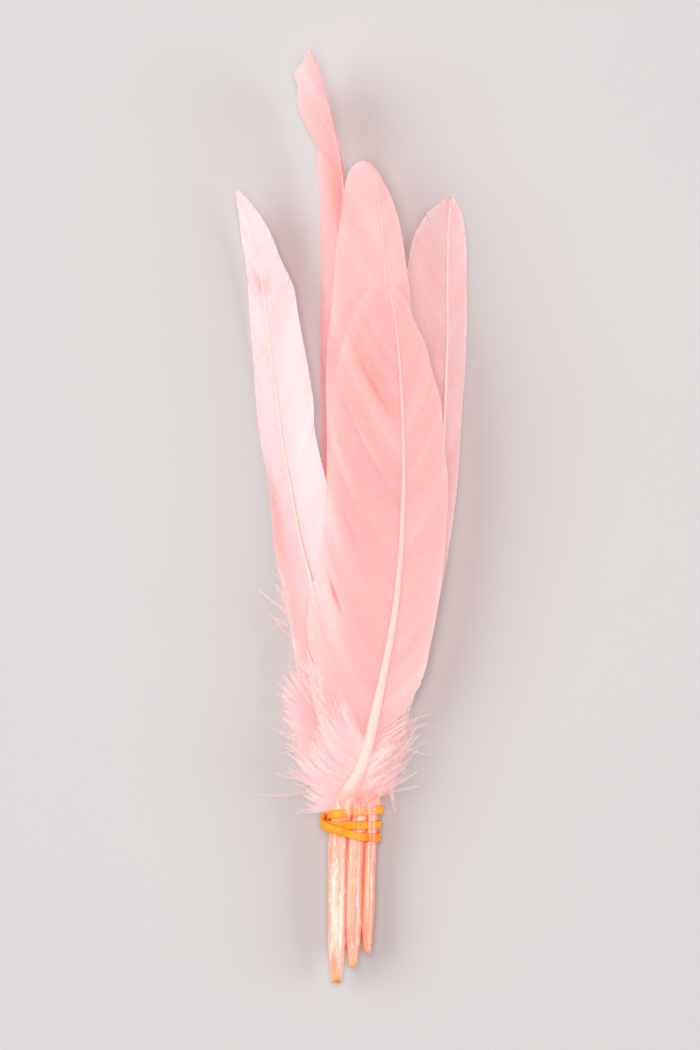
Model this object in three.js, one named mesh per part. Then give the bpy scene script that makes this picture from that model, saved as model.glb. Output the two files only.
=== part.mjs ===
// A bunch of five dyed goose quill feathers, tied round the quills with a rubber band
// and lying on a flat surface.
//
// Millimetres, +Z up. The quills point to -Y and the tips to +Y. The origin is at the middle
// of the bunch's outline, on the surface that it lies on.
//
// Each feather is one closed solid: a round quill that turns into a thin curved vane with the
// shaft as a rib along it. It is drawn as cross-sections at steps along Y. What changes along
// the feather is a short outline of [y, value] points, joined by a smooth curve.

import * as THREE from 'three';

// Driving dimensions

const VANE_THICKNESS = 0.5;      // a vane with its barbs lying close
const STATIONS = 46;             // cross-sections along a feather
const SECTION_HALF = 7;          // points along the top, and again along the underside
const SHAFT_PLACE = 3;           // which of them is on the shaft
const SHAFT_SHOULDER = 0.4;      // height of the shaft's sides, in radii
const LEAST_VANE = 0.2;          // how far a vane stands out beside its shaft at the least
const VANE_START = -61;          // y where the quill ends and the vane begins
const SHAFT_TIP_RADIUS = 0.2;
const SHAFT_SLIM_Y = 35;         // where every shaft has become as slim as the others
const SHAFT_SLIM_RADIUS = 0.33;
const TIPWARD_CROWDING = 0.6;    // share of the steps' spacing that shrinks towards the tip

// Cross-sections along a bare quill, as shares of its length from the cut end.
const QUILL_STEPS = [0, 0.07, 0.14, 0.27, 0.6, 0.75, 0.85, 0.93, 1];

// How thick a quill is, in quill radii: first by the distance from its narrowed cut end, then
// by y up the shaft.
const QUILL_CUT = [[0, 0.6], [5, 0.85], [11, 1]];
const SHAFT_TAPER = [[-62, 1], [-55, 0.78], [-41, 0.54], [-20, 0.37], [5, 0.27]];

const BAND_WIDTH = 1.95;
const BAND_THICKNESS = 1;
const BAND_CLEARANCE = 0.3;      // between the band and the quills, and between its turns
const BAND_MIDDLE = -69;         // y of the tie
const BAND_TURNS = 3;
const BAND_STEPS_PER_TURN = 30;
const OUTLINE_STEPS = 120;       // directions tried round the bundle of quills

const PINK = { color: 0xf6b2b0, roughness: 0.7, metalness: 0 };
const PALE_PINK = { color: 0xfad7da, roughness: 0.6, metalness: 0 };
const ORANGE = { color: 0xf28c1c, roughness: 0.5, metalness: 0 };

// The feathers. shaft is [y, x, z] from the cut end of the quill to the tip. left and right are
// the widths of the two vanes seen from above. A vane falls away from the shaft by its fall
// times its width, and by its droop as well at the edge, which makes it arched.

const FEATHERS = {
  feather_front: {
    quillRadius: 1.95,
    finish: PINK,
    shaft: [
      [-104.5, -3.6, 6.1], [-85, -3.5, 6.5], [-73, -3.2, 7.1], [-65, -2, 8.5], [-61, -0.4, 10.2],
      [-55.5, 2.4, 11], [-41, 6, 11.8], [-22, 9.6, 12.7], [-10, 10.9, 13.3], [4, 11.6, 14.2],
      [14, 11.7, 14.9], [29, 11.1, 16], [44, 9.8, 17.1], [52.4, 8.2, 17.6],
    ],
    left: [
      [-61, 1.8], [-57, 4], [-50, 9], [-42, 14], [-30, 17.8], [-18, 19.4], [-8, 17.9], [4, 17],
      [17, 16.2], [26, 16], [32.5, 14.4], [39.5, 12.1], [44, 10.1], [48.8, 7], [51, 4.4], [52.4, 0.5],
    ],
    right: [
      [-61, 1.8], [-57, 3.2], [-50, 5], [-41, 7.2], [-36.5, 8.8], [-27, 9.3], [-10, 9.7], [8, 9.9],
      [16, 9], [26, 8.7], [33.5, 7], [38.5, 6.2], [42, 4.9], [45.5, 3.8], [48.8, 3.2], [51, 1.9],
      [52.4, 0.4],
    ],
    leftFall: [[-61, 0.1], [52, 0.1]],
    rightFall: [[-61, 0.06], [52, 0.06]],
    leftDroop: [[-61, 1.4], [52, 0.6]],
    rightDroop: [[-61, 0.6], [52, 0.3]],
  },

  feather_behind_front: {
    quillRadius: 1.75,
    finish: PINK,
    shaft: [
      [-100.7, 0.3, 6.3], [-85, 0.5, 6.5], [-73, 0.95, 6.85], [-65, 1.9, 6.95], [-55, 2.9, 7.3],
      [-40, 4, 8.2], [-20, 5.3, 9.5], [0, 6.4, 11], [25, 7.5, 13], [40, 7.75, 14.3], [52, 7.5, 15.2],
      [62, 7.1, 15.8], [70, 6.2, 16.1], [76, 5, 16.2], [79.9, 3.3, 16.2],
    ],
    left: [
      [-61, 1.7], [-57, 3], [-50, 6], [-40, 9], [-20, 10.5], [0, 12], [19.5, 12.8], [30, 13.4],
      [40, 13], [50.3, 11.7], [59.6, 10.8], [66.5, 9.2], [74.8, 6.7], [78, 4.5], [79.5, 2], [79.9, 0.4],
    ],
    right: [
      [-61, 1.7], [-57, 2.6], [-50, 4.5], [-40, 6.5], [-20, 7.5], [20, 8], [48.8, 5.6], [60, 4.5],
      [66, 3.9], [71.5, 2.9], [76, 1.6], [78.4, 0.9], [79.9, 0.4],
    ],
    leftFall: [[-61, 0.1], [0, 0.1], [80, 0.04]],
    rightFall: [[-61, 0.1], [80, 0.05]],
    leftDroop: [[-61, 0.8], [80, 0.5]],
    rightDroop: [[-61, 0.5], [80, 0.3]],
  },

  feather_right: {
    quillRadius: 1.45,
    finish: PINK,
    shaft: [
      [-98, 3.7, 5.7], [-85, 4, 5.6], [-73, 4.3, 5.5], [-65, 4.95, 5], [-54.6, 6.9, 4.8],
      [-45.6, 9.4, 4.9], [-27.6, 14.3, 5], [-9.7, 17.9, 4.8], [6, 19.9, 4.5], [20.7, 20.8, 4],
      [27.4, 21.1, 3.7], [40, 21.5, 3.1], [63, 21.7, 1.5], [72.8, 22.4, 0.2],
    ],
    left: [
      [-61, 1.5], [-57, 2.5], [-50, 4.5], [-40, 8], [-20, 12], [5, 14], [26, 13], [45, 11],
      [57.5, 8.8], [62.5, 7.9], [66, 6.5], [69.5, 4.3], [71.3, 2], [72.8, 0.4],
    ],
    right: [
      [-61, 1.5], [-57, 2], [-50, 3], [-30, 3.4], [-10, 3.6], [10, 3.9], [26, 4.1], [37.5, 4.4],
      [57.5, 4.4], [63, 4.1], [68.5, 2.9], [71.5, 1.1], [72.8, 0.4],
    ],
    leftFall: [[-61, 0.06], [73, 0]],
    rightFall: [[-61, 0.3], [40, 0.3], [73, 0.05]],
    leftDroop: [[-61, 0.8], [60, 0.5], [73, 0]],
    rightDroop: [[-61, 0.3], [60, 0.3], [73, 0]],
  },

  feather_left: {
    quillRadius: 1.7,
    finish: PALE_PINK,
    shaft: [
      [-97, -1.6, 2.8], [-85, -1.75, 2.9], [-73, -1.95, 3], [-65, -2.4, 3], [-61, -2.8, 3.1],
      [-45.6, -4.2, 3.8], [-30, -6.2, 4.4], [-14.4, -9.1, 4.8], [-5.8, -11.3, 4.85], [0, -12.5, 4.8],
      [6.3, -13.6, 4.75], [14.8, -15.2, 4.65], [26.3, -16.7, 4.55], [39.6, -18.5, 4.8], [47.4, -19.4, 5.3],
      [57.8, -20.8, 6.1], [66, -22.8, 7.1], [73.9, -25.9, 8.4],
    ],
    left: [
      [-61, 1.7], [-57, 2.6], [-50, 4.5], [-40, 6.5], [-25, 6.8], [-10, 6.6], [1, 5.4], [8, 4.8],
      [17, 5], [26, 4.9], [35, 4.2], [46, 3.8], [53.5, 3.3], [63, 2.9], [70, 1.4], [73.9, 0.3],
    ],
    right: [
      [-61, 1.7], [-57, 1.9], [-50, 2.2], [-40, 2.8], [-30, 3.8], [-20, 5], [-10, 6.3], [0, 8],
      [9, 8.2], [20, 7.6], [26, 8.1], [37, 7.8], [45.5, 7.2], [51.7, 6.9], [58.2, 4.9], [63.4, 4],
      [67.2, 3.1], [71.2, 1.6], [73.9, 0.3],
    ],
    leftFall: [[-61, 0.2], [-40, 0.35], [-10, 0.6], [15, 0.8], [50, 0.7], [74, 0.3]],
    rightFall: [[-61, 0], [-20, -0.05], [0, -0.3], [20, -0.4], [74, -0.35]],
    leftDroop: [[-61, 0.4], [74, 0.3]],
    rightDroop: [[-61, 0.2], [0, -0.3], [74, -0.5]],
  },

  feather_tall_narrow: {
    quillRadius: 1.7,
    finish: PINK,
    shaft: [
      [-95, 2.1, 2.6], [-85, 1.95, 2.6], [-73, 1.85, 3], [-65, 1.4, 3], [-61.3, 1.1, 3.1],
      [-45.6, 0, 4], [-27.6, -1, 5.4], [-9.7, -1.9, 7], [3.8, -2.6, 8.3], [15, -2.8, 9.4],
      [26.3, -2.8, 10.4], [37.5, -2.6, 11.3], [48.8, -2.1, 12.1], [60, -1.7, 12.8], [69, -1.7, 13.4],
      [76.2, -2.1, 13.9], [82.7, -3.3, 14.6], [89.2, -4.8, 15.4], [95.3, -6.2, 16.4],
      [99.6, -7.5, 17.2], [104.5, -9.3, 18.2],
    ],
    left: [
      [-61, 1.7], [-50, 2], [-40, 2.4], [-20, 3.2], [0, 3.3], [15, 4], [26, 4], [37.5, 4.5],
      [52.6, 4.9], [60.2, 5.2], [64.7, 5.6], [71.2, 5.2], [79, 5.2], [84, 4.4], [87.2, 5.4],
      [90.8, 6.4], [93.7, 6.5], [96.8, 5.4], [99.6, 5.4], [102.5, 2.2], [104.5, 0.4],
    ],
    right: [
      [-61, 1.6], [-50, 1.6], [-30, 1.6], [0, 1.8], [30, 1.5], [60, 0.8], [76, 0.6], [90, 0.55],
      [104.5, 0.4],
    ],
    leftFall: [[-61, 0.2], [-40, 0.9], [-20, 1.3], [0, 1.9], [26, 2.1], [60, 2.1], [90, 1.7], [104, 1]],
    rightFall: [[-61, 0.2], [-40, 1], [0, 2.2], [60, 2.6], [104, 1.5]],
    leftDroop: [[-61, 0.2], [104, 0.5]],
    rightDroop: [[-61, 0.2], [104, 0.2]],
  },
};

// The rubber band, along its length counted in turns round the quills, from the right-hand side
// over the top. slide is [turn, y]. lift is [turn, layers that it passes over]: the last turn
// comes back across the first two at the left.

const BAND = {
  slide: [
    [0, -65.8], [0.15, -66], [0.4, -66.8], [0.5, -67.2], [0.6, -67.7], [0.75, -68.3], [1, -69.2],
    [1.2, -69.15], [1.4, -69.15], [1.5, -69.5], [1.6, -70], [1.75, -70.7], [2, -71.9], [2.1, -72],
    [2.2, -71.6], [2.3, -70.7], [2.4, -69.5], [2.46, -68.2], [2.52, -66.4], [2.57, -65.4],
    [2.62, -65.2], [2.75, -65.4], [3, -65.8],
  ],
  lift: [[0, 0], [2.08, 0], [2.22, 1], [2.55, 1], [2.62, 0], [3, 0]],
};

// Curves

// The value at y of a smooth curve through points, whose first number is y. column says which
// of their other numbers is wanted.
function along(points, y, column = 1) {
  const last = points.length - 1;
  if (y <= points[0][0]) return points[0][column];
  if (y >= points[last][0]) return points[last][column];
  let i = 0;
  while (points[i + 1][0] < y) i += 1;
  const slope = (k) => {
    const before = points[Math.max(k - 1, 0)];
    const after = points[Math.min(k + 1, last)];
    return (after[column] - before[column]) / (after[0] - before[0]);
  };
  const [from, to] = [points[i], points[i + 1]];
  const step = to[0] - from[0];
  const t = (y - from[0]) / step;
  return (
    (2 * t ** 3 - 3 * t ** 2 + 1) * from[column] +
    (t ** 3 - 2 * t ** 2 + t) * step * slope(i) +
    (3 * t ** 2 - 2 * t ** 3) * to[column] +
    (t ** 3 - t ** 2) * step * slope(i + 1)
  );
}

// The radius of a feather's shaft, from its cut end to its tip.
function shaftRadius(feather, y) {
  const full = feather.quillRadius;
  const end = feather.shaft[0][0];
  const tip = feather.shaft.at(-1)[0];
  const taper = [
    ...QUILL_CUT.map(([distance, share]) => [end + distance, share * full]),
    ...SHAFT_TAPER.map(([at, share]) => [at, share * full]),
    [SHAFT_SLIM_Y, SHAFT_SLIM_RADIUS],
    [tip, SHAFT_TIP_RADIUS],
  ];
  return along(taper, y);
}

// Solids

// A closed mesh from rings that all have the same number of points, in order. Each ring runs
// clockwise seen from before the first ring. A closed loop of rings joins up, and open ends are
// capped.
function loft(rings, closedLoop = false) {
  const size = rings[0].length;
  const positions = rings.flat(2);
  const triangles = [];
  const quadRows = closedLoop ? rings.length : rings.length - 1;
  for (let row = 0; row < quadRows; row += 1) {
    const next = (row + 1) % rings.length;
    for (let k = 0; k < size; k += 1) {
      const a = row * size + k;
      const b = row * size + ((k + 1) % size);
      const c = next * size + ((k + 1) % size);
      const d = next * size + k;
      triangles.push(a, c, d, a, b, c);
    }
  }
  if (!closedLoop) {
    for (const [row, flip] of [[0, false], [rings.length - 1, true]]) {
      const middle = positions.length / 3;
      for (let axis = 0; axis < 3; axis += 1) {
        const sum = rings[row].reduce((total, point) => total + point[axis], 0);
        positions.push(sum / size);
      }
      for (let k = 0; k < size; k += 1) {
        const a = row * size + k;
        const b = row * size + ((k + 1) % size);
        triangles.push(...(flip ? [middle, a, b] : [middle, b, a]));
      }
    }
  }
  const geometry = new THREE.BufferGeometry();
  geometry.setAttribute('position', new THREE.Float32BufferAttribute(positions, 3));
  geometry.setIndex(triangles);
  geometry.computeVertexNormals();
  return geometry;
}

// A point of a feather's cross-section in its vane. hand is -1 on the left and 1 on the right,
// share runs from 0 beside the shaft to 1 at the edge, and side is 1 on the top and -1
// underneath.
function vanePoint(feather, y, hand, share, side) {
  const [widths, falls, droops] = hand < 0
    ? [feather.left, feather.leftFall, feather.leftDroop]
    : [feather.right, feather.rightFall, feather.rightDroop];
  const radius = shaftRadius(feather, y);
  const width = Math.max(along(widths, y), radius + LEAST_VANE);
  const out = radius + (width - radius) * share;
  const fall = along(falls, y);
  const drop = fall * out + along(droops, y) * (out / width) ** 2;
  const lean = Math.atan(fall) * hand;
  const half = (side * VANE_THICKNESS) / 2;
  return [out * hand + half * Math.sin(lean), half * Math.cos(lean) - drop];
}

// The cross-section of a feather at y: round in the quill and at the very tip, and in the vane
// a thin plate with the shaft along its middle. It runs over the top from left to right, and
// back underneath.
function featherSection(feather, y) {
  const radius = shaftRadius(feather, y);
  const bare = y <= VANE_START || y >= feather.shaft.at(-1)[0];
  const top = [];
  const underside = [];
  for (const [points, side] of [[top, 1], [underside, -1]]) {
    for (let k = 0; k < SECTION_HALF; k += 1) {
      const hand = Math.sign(k - SHAFT_PLACE);
      const place = Math.abs(k - SHAFT_PLACE);
      const angle = Math.PI * (1 - (k + 0.5) / SECTION_HALF) * side;
      if (bare) points.push([radius * Math.cos(angle), radius * Math.sin(angle)]);
      else if (place === 0) points.push([0, side * radius]);
      else if (place === 1) points.push([hand * radius, side * radius * SHAFT_SHOULDER]);
      else points.push(vanePoint(feather, y, hand, (place - 1) / (SHAFT_PLACE - 1), side));
    }
  }
  const [x, z] = [along(feather.shaft, y), along(feather.shaft, y, 2)];
  return [...top, ...underside.reverse()].map(([across, up]) => [x + across, y, z + up]);
}

// Steps along a feather, closer together at the tie, where the quills bend apart, and towards
// the tip, where the outline turns fastest.
function featherSteps(feather) {
  const end = feather.shaft[0][0];
  const tip = feather.shaft.at(-1)[0];
  const quill = QUILL_STEPS.map((t) => end + t * (VANE_START - end));
  const vaneSteps = STATIONS - quill.length;
  const vane = Array.from({ length: vaneSteps }, (_, k) => {
    const t = (k + 1) / vaneSteps;
    const crowded = Math.sin((t * Math.PI) / 2);
    return VANE_START + (tip - VANE_START) * (t + TIPWARD_CROWDING * (crowded - t));
  });
  return [...quill, ...vane];
}

function featherGeometry(feather) {
  return loft(featherSteps(feather).map((y) => featherSection(feather, y)));
}

// The band's route

// The quills' circles where the band crosses y.
function quillCircles(y) {
  return Object.values(FEATHERS).map((feather) => ({
    x: along(feather.shaft, y),
    z: along(feather.shaft, y, 2),
    radius: shaftRadius(feather, y),
  }));
}

// How far the bundle reaches at y in a direction, and the point where it does.
function reach(y, angle) {
  const [dx, dz] = [Math.cos(angle), Math.sin(angle)];
  const reaches = quillCircles(y).map(({ x, z, radius }) => ({
    distance: x * dx + z * dz + radius,
    point: [x + radius * dx, z + radius * dz],
  }));
  return reaches.reduce((best, one) => (one.distance > best.distance ? one : best));
}

// A taut loop round the bundle, as points with their direction and length so far.
function tautLoop() {
  const loop = [];
  let length = 0;
  for (let k = 0; k <= OUTLINE_STEPS; k += 1) {
    const angle = (k / OUTLINE_STEPS) * 2 * Math.PI;
    const { point } = reach(BAND_MIDDLE, angle);
    if (k > 0) length += Math.hypot(point[0] - loop[k - 1].x, point[1] - loop[k - 1].z);
    loop.push({ x: point[0], z: point[1], angle, length });
  }
  return loop;
}

// One cross-section of the band, turn times round the quills.
function bandSection(loop, turn) {
  const wanted = (turn % 1) * loop.at(-1).length;
  let i = 0;
  while (i < loop.length - 2 && loop[i + 1].length <= wanted) i += 1;
  const [from, to] = [loop[i], loop[i + 1]];
  const t = (wanted - from.length) / (to.length - from.length);
  const mix = (key) => from[key] + t * (to[key] - from[key]);

  const y = along(BAND.slide, turn);
  const angle = mix('angle');
  const [dx, dz] = [Math.cos(angle), Math.sin(angle)];
  const half = BAND_WIDTH / 2;
  const furthest = Math.max(reach(y - half, angle).distance, reach(y + half, angle).distance);
  const shift = furthest - reach(BAND_MIDDLE, angle).distance;
  const layer = along(BAND.lift, turn) * (BAND_THICKNESS + BAND_CLEARANCE);
  const inner = BAND_CLEARANCE + shift + layer;
  const outer = inner + BAND_THICKNESS;
  return [[inner, -half], [outer, -half], [outer, half], [inner, half]]
    .map(([out, side]) => [mix('x') + dx * out, y + side, mix('z') + dz * out]);
}

function bandGeometry() {
  const loop = tautLoop();
  const count = BAND_TURNS * BAND_STEPS_PER_TURN;
  const rings = Array.from({ length: count }, (_, k) => bandSection(loop, k / BAND_STEPS_PER_TURN));
  return loft(rings, true);
}

// The bunch

function subPart(name, geometry, finish) {
  const mesh = new THREE.Mesh(geometry, new THREE.MeshStandardMaterial(finish));
  mesh.name = name;
  return mesh;
}

const bunch = new THREE.Group();
bunch.name = 'feather_bunch';
for (const [name, feather] of Object.entries(FEATHERS)) {
  bunch.add(subPart(name, featherGeometry(feather), feather.finish));
}
bunch.add(subPart('rubber_band', bandGeometry(), ORANGE));

export default bunch;
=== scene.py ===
"""A bunch of five dyed goose quill feathers, tied round the quills with a rubber band.

Millimetres are used for the shapes and turned into metres where a mesh is made. The quills
point to -Y and the tips to +Y, and the bunch lies on the floor at z = 0.
"""

import math

import bpy
import numpy as np
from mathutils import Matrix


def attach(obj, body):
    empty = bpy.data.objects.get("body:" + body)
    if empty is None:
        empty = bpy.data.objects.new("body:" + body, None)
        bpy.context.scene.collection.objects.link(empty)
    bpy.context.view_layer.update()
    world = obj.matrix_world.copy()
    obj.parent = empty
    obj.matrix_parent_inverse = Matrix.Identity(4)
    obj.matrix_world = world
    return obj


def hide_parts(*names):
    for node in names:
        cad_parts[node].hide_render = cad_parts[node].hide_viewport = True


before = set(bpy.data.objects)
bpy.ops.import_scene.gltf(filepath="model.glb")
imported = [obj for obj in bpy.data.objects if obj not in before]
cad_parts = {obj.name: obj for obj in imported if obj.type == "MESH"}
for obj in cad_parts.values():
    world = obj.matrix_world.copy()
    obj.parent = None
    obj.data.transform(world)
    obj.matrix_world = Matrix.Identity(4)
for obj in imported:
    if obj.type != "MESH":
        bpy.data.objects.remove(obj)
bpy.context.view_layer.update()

bl_info = {
    "name": "Quill Feather Bunch",
    "version": (1, 0, 0),
    "blender": (4, 5, 0),
    "location": "View3D > Sidebar > Feathers",
    "description": "Builds a tied bunch of dyed quill feathers on a pale floor",
    "category": "Add Mesh",
}

MM = 0.001                # a millimetre in metres
VANE_START = -61.0        # y where the quill ends and the vane begins
LEAST_VANE = 0.2          # how far a vane stands out beside its shaft at the least
SHAFT_TIP_RADIUS = 0.2
SHAFT_STOPS_SHORT = 0.6   # how far from a feather's tip its shaft ends
QUILL_SWELL = [(-78, 0.17), (-72, 0.23)]    # the bare quills press against each other
QUILL_SQUEEZE = 0.08      # how much closer the tie draws them, as a share of x
SHAFT_FLATNESS = 0.35     # how much flatter than round a shaft is between its vanes

# The feathers. shaft is (y, x, z) from the cut end of the quill to the tip. left and right are
# (y, width) of the two vanes seen from above. A vane falls away from the shaft by its fall
# times its width, and by its droop as well at the edge, which makes it arched.

FEATHERS = {
    "feather_front": {
        "quill_radius": 1.95,
        "shaft": [
            (-104.5, -3.6, 6.1), (-85, -3.5, 6.5), (-73, -3.2, 7.1), (-65, -2, 8.5),
            (-61, -0.4, 10.2), (-55.5, 2.4, 11), (-41, 6, 11.8), (-22, 9.6, 12.7),
            (-10, 10.9, 13.3), (4, 11.6, 14.2), (14, 11.7, 14.9), (29, 11.1, 16),
            (44, 9.8, 17.1), (52.4, 8.2, 17.6),
        ],
        "left": [
            (-61, 1.8), (-57, 4), (-50, 9), (-42, 14), (-30, 17.8), (-18, 19.4), (-8, 17.9),
            (4, 17), (17, 16.2), (26, 16), (32.5, 14.4), (39.5, 12.1), (44, 10.1), (48.8, 7),
            (51, 4.4), (52.4, 0.5),
        ],
        "right": [
            (-61, 1.8), (-57, 3.2), (-50, 5), (-41, 7.2), (-36.5, 8.8), (-27, 9.3), (-10, 9.7),
            (8, 9.9), (16, 9), (26, 8.7), (33.5, 7), (38.5, 6.2), (42, 4.9), (45.5, 3.8),
            (48.8, 3.2), (51, 1.9), (52.4, 0.4),
        ],
        "left_fall": [(-61, 0.1), (52, 0.1)],
        "right_fall": [(-61, 0.06), (52, 0.06)],
        "left_droop": [(-61, 1.4), (52, 0.6)],
        "right_droop": [(-61, 0.6), (52, 0.3)],
    },
    "feather_behind_front": {
        "quill_radius": 1.75,
        "shaft": [
            (-100.7, 0.3, 6.3), (-85, 0.5, 6.5), (-73, 0.95, 6.85), (-65, 1.9, 6.95),
            (-55, 2.9, 7.3), (-40, 4, 8.2), (-20, 5.3, 9.5), (0, 6.4, 11), (25, 7.5, 13),
            (40, 7.75, 14.3), (52, 7.5, 15.2), (62, 7.1, 15.8), (70, 6.2, 16.1),
            (76, 5, 16.2), (79.9, 3.3, 16.2),
        ],
        "left": [
            (-61, 1.7), (-57, 3), (-50, 6), (-40, 9), (-20, 10.5), (0, 12), (19.5, 12.8),
            (30, 13.4), (40, 13), (50.3, 11.7), (59.6, 10.8), (66.5, 9.2), (74.8, 6.7),
            (78, 4.5), (79.5, 2), (79.9, 0.4),
        ],
        "right": [
            (-61, 1.7), (-57, 2.6), (-50, 4.5), (-40, 6.5), (-20, 7.5), (20, 8), (48.8, 5.6),
            (60, 4.5), (66, 3.9), (71.5, 2.9), (76, 1.6), (78.4, 0.9), (79.9, 0.4),
        ],
        "left_fall": [(-61, 0.1), (0, 0.1), (80, 0.04)],
        "right_fall": [(-61, 0.1), (80, 0.05)],
        "left_droop": [(-61, 0.8), (80, 0.5)],
        "right_droop": [(-61, 0.5), (80, 0.3)],
    },
    "feather_right": {
        "quill_radius": 1.45,
        "shaft": [
            (-98, 3.7, 5.7), (-85, 4, 5.6), (-73, 4.3, 5.5), (-65, 4.95, 5),
            (-54.6, 6.9, 4.8), (-45.6, 9.4, 4.9), (-27.6, 14.3, 5), (-9.7, 17.9, 4.8),
            (6, 19.9, 4.5), (20.7, 20.8, 4), (27.4, 21.1, 3.7), (40, 21.5, 3.1),
            (63, 21.7, 1.5), (72.8, 22.4, 0.2),
        ],
        "left": [
            (-61, 1.5), (-57, 2.5), (-50, 4.5), (-40, 8), (-20, 12), (5, 14), (26, 13),
            (45, 11), (57.5, 8.8), (62.5, 7.9), (66, 6.5), (69.5, 4.3), (71.3, 2), (72.8, 0.4),
        ],
        "right": [
            (-61, 1.5), (-57, 2), (-50, 3), (-30, 3.4), (-10, 3.6), (10, 3.9), (26, 4.1),
            (37.5, 4.4), (57.5, 4.4), (63, 4.1), (68.5, 2.9), (71.5, 1.1), (72.8, 0.4),
        ],
        "left_fall": [(-61, 0.06), (73, 0)],
        "right_fall": [(-61, 0.3), (40, 0.3), (73, 0.05)],
        "left_droop": [(-61, 0.8), (60, 0.5), (73, 0)],
        "right_droop": [(-61, 0.3), (60, 0.3), (73, 0)],
    },
    "feather_left": {
        "quill_radius": 1.7,
        "shaft": [
            (-97, -1.6, 2.8), (-85, -1.75, 2.9), (-73, -1.95, 3), (-65, -2.4, 3),
            (-61, -2.8, 3.1), (-45.6, -4.2, 3.8), (-30, -6.2, 4.4), (-14.4, -9.1, 4.8),
            (-5.8, -11.3, 4.85), (0, -12.5, 4.8), (6.3, -13.6, 4.75), (14.8, -15.2, 4.65),
            (26.3, -16.7, 4.55), (39.6, -18.5, 4.8), (47.4, -19.4, 5.3), (57.8, -20.8, 6.1),
            (66, -22.8, 7.1), (73.9, -25.9, 8.4),
        ],
        "left": [
            (-61, 1.7), (-57, 2.6), (-50, 4.5), (-40, 6.5), (-25, 6.8), (-10, 6.6), (1, 5.4),
            (8, 4.8), (17, 5), (26, 4.9), (35, 4.2), (46, 3.8), (53.5, 3.3), (63, 2.9),
            (70, 1.4), (73.9, 0.3),
        ],
        "right": [
            (-61, 1.7), (-57, 1.9), (-50, 2.2), (-40, 2.8), (-30, 3.8), (-20, 5), (-10, 6.3),
            (0, 8), (9, 8.2), (20, 7.6), (26, 8.1), (37, 7.8), (45.5, 7.2), (51.7, 6.9),
            (58.2, 4.9), (63.4, 4), (67.2, 3.1), (71.2, 1.6), (73.9, 0.3),
        ],
        "left_fall": [(-61, 0.2), (-40, 0.35), (-10, 0.6), (15, 0.8), (50, 0.7), (74, 0.3)],
        "right_fall": [(-61, 0), (-20, -0.05), (0, -0.3), (20, -0.4), (74, -0.35)],
        "left_droop": [(-61, 0.4), (74, 0.3)],
        "right_droop": [(-61, 0.2), (0, -0.3), (74, -0.5)],
    },
    "feather_tall_narrow": {
        "quill_radius": 1.7,
        "shaft": [
            (-95, 2.1, 2.6), (-85, 1.95, 2.6), (-73, 1.85, 3), (-65, 1.4, 3), (-61.3, 1.1, 3.1),
            (-45.6, 0, 4), (-27.6, -1, 5.4), (-9.7, -1.9, 7), (3.8, -2.6, 8.3),
            (15, -2.8, 9.4), (26.3, -2.8, 10.4), (37.5, -2.6, 11.3), (48.8, -2.1, 12.1),
            (60, -1.7, 12.8), (69, -1.7, 13.4), (76.2, -2.1, 13.9), (82.7, -3.3, 14.6),
            (89.2, -4.8, 15.4), (95.3, -6.2, 16.4), (99.6, -7.5, 17.2), (104.5, -9.3, 18.2),
        ],
        "left": [
            (-61, 1.7), (-50, 2), (-40, 2.4), (-20, 3.2), (0, 3.3), (15, 4), (26, 4),
            (37.5, 4.5), (52.6, 4.9), (60.2, 5.2), (64.7, 5.6), (71.2, 5.2), (79, 5.2),
            (84, 4.4), (87.2, 5.4), (90.8, 6.4), (93.7, 6.5), (96.8, 5.4), (99.6, 5.4),
            (102.5, 2.2), (104.5, 0.4),
        ],
        "right": [
            (-61, 1.6), (-50, 1.6), (-30, 1.6), (0, 1.8), (30, 1.5), (60, 0.8), (76, 0.6),
            (90, 0.55), (104.5, 0.4),
        ],
        "left_fall": [
            (-61, 0.2), (-40, 0.9), (-20, 1.3), (0, 1.9), (26, 2.1), (60, 2.1), (90, 1.7),
            (104, 1),
        ],
        "right_fall": [(-61, 0.2), (-40, 1), (0, 2.2), (60, 2.6), (104, 1.5)],
        "left_droop": [(-61, 0.2), (104, 0.5)],
        "right_droop": [(-61, 0.2), (104, 0.2)],
    },
}

# The rubber band, along its length counted in turns round the quills, from the right-hand side
# over the top. slide is (turn, y). lift is (turn, layers that it passes over). middle is the y
# at which the quills are measured for its loop, and clearance the gap that it keeps to them.

BAND = {
    "middle": -69.0,
    "turns": 3,
    "clearance": 0.12,
    "slide": [
        (0, -65.8), (0.15, -66), (0.4, -66.8), (0.5, -67.2), (0.6, -67.7), (0.75, -68.3),
        (1, -69.2), (1.2, -69.15), (1.4, -69.15), (1.5, -69.5), (1.6, -70), (1.75, -70.7),
        (2, -71.9), (2.1, -72), (2.2, -71.6), (2.3, -70.7), (2.4, -69.2), (2.46, -68),
        (2.52, -66.8), (2.58, -65.8), (2.63, -65.5), (2.75, -65.7), (3, -65.8),
    ],
    "lift": [(0, 0), (2.08, 0), (2.22, 1), (2.55, 1), (2.62, 0), (3, 0)],
}
BAND_CORNER = 0.28        # how far the corners of its section are cut back
BAND_STEPS = 84           # rings along one turn
LOOP_STEPS = 120          # directions in which the tied quills are measured

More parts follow.
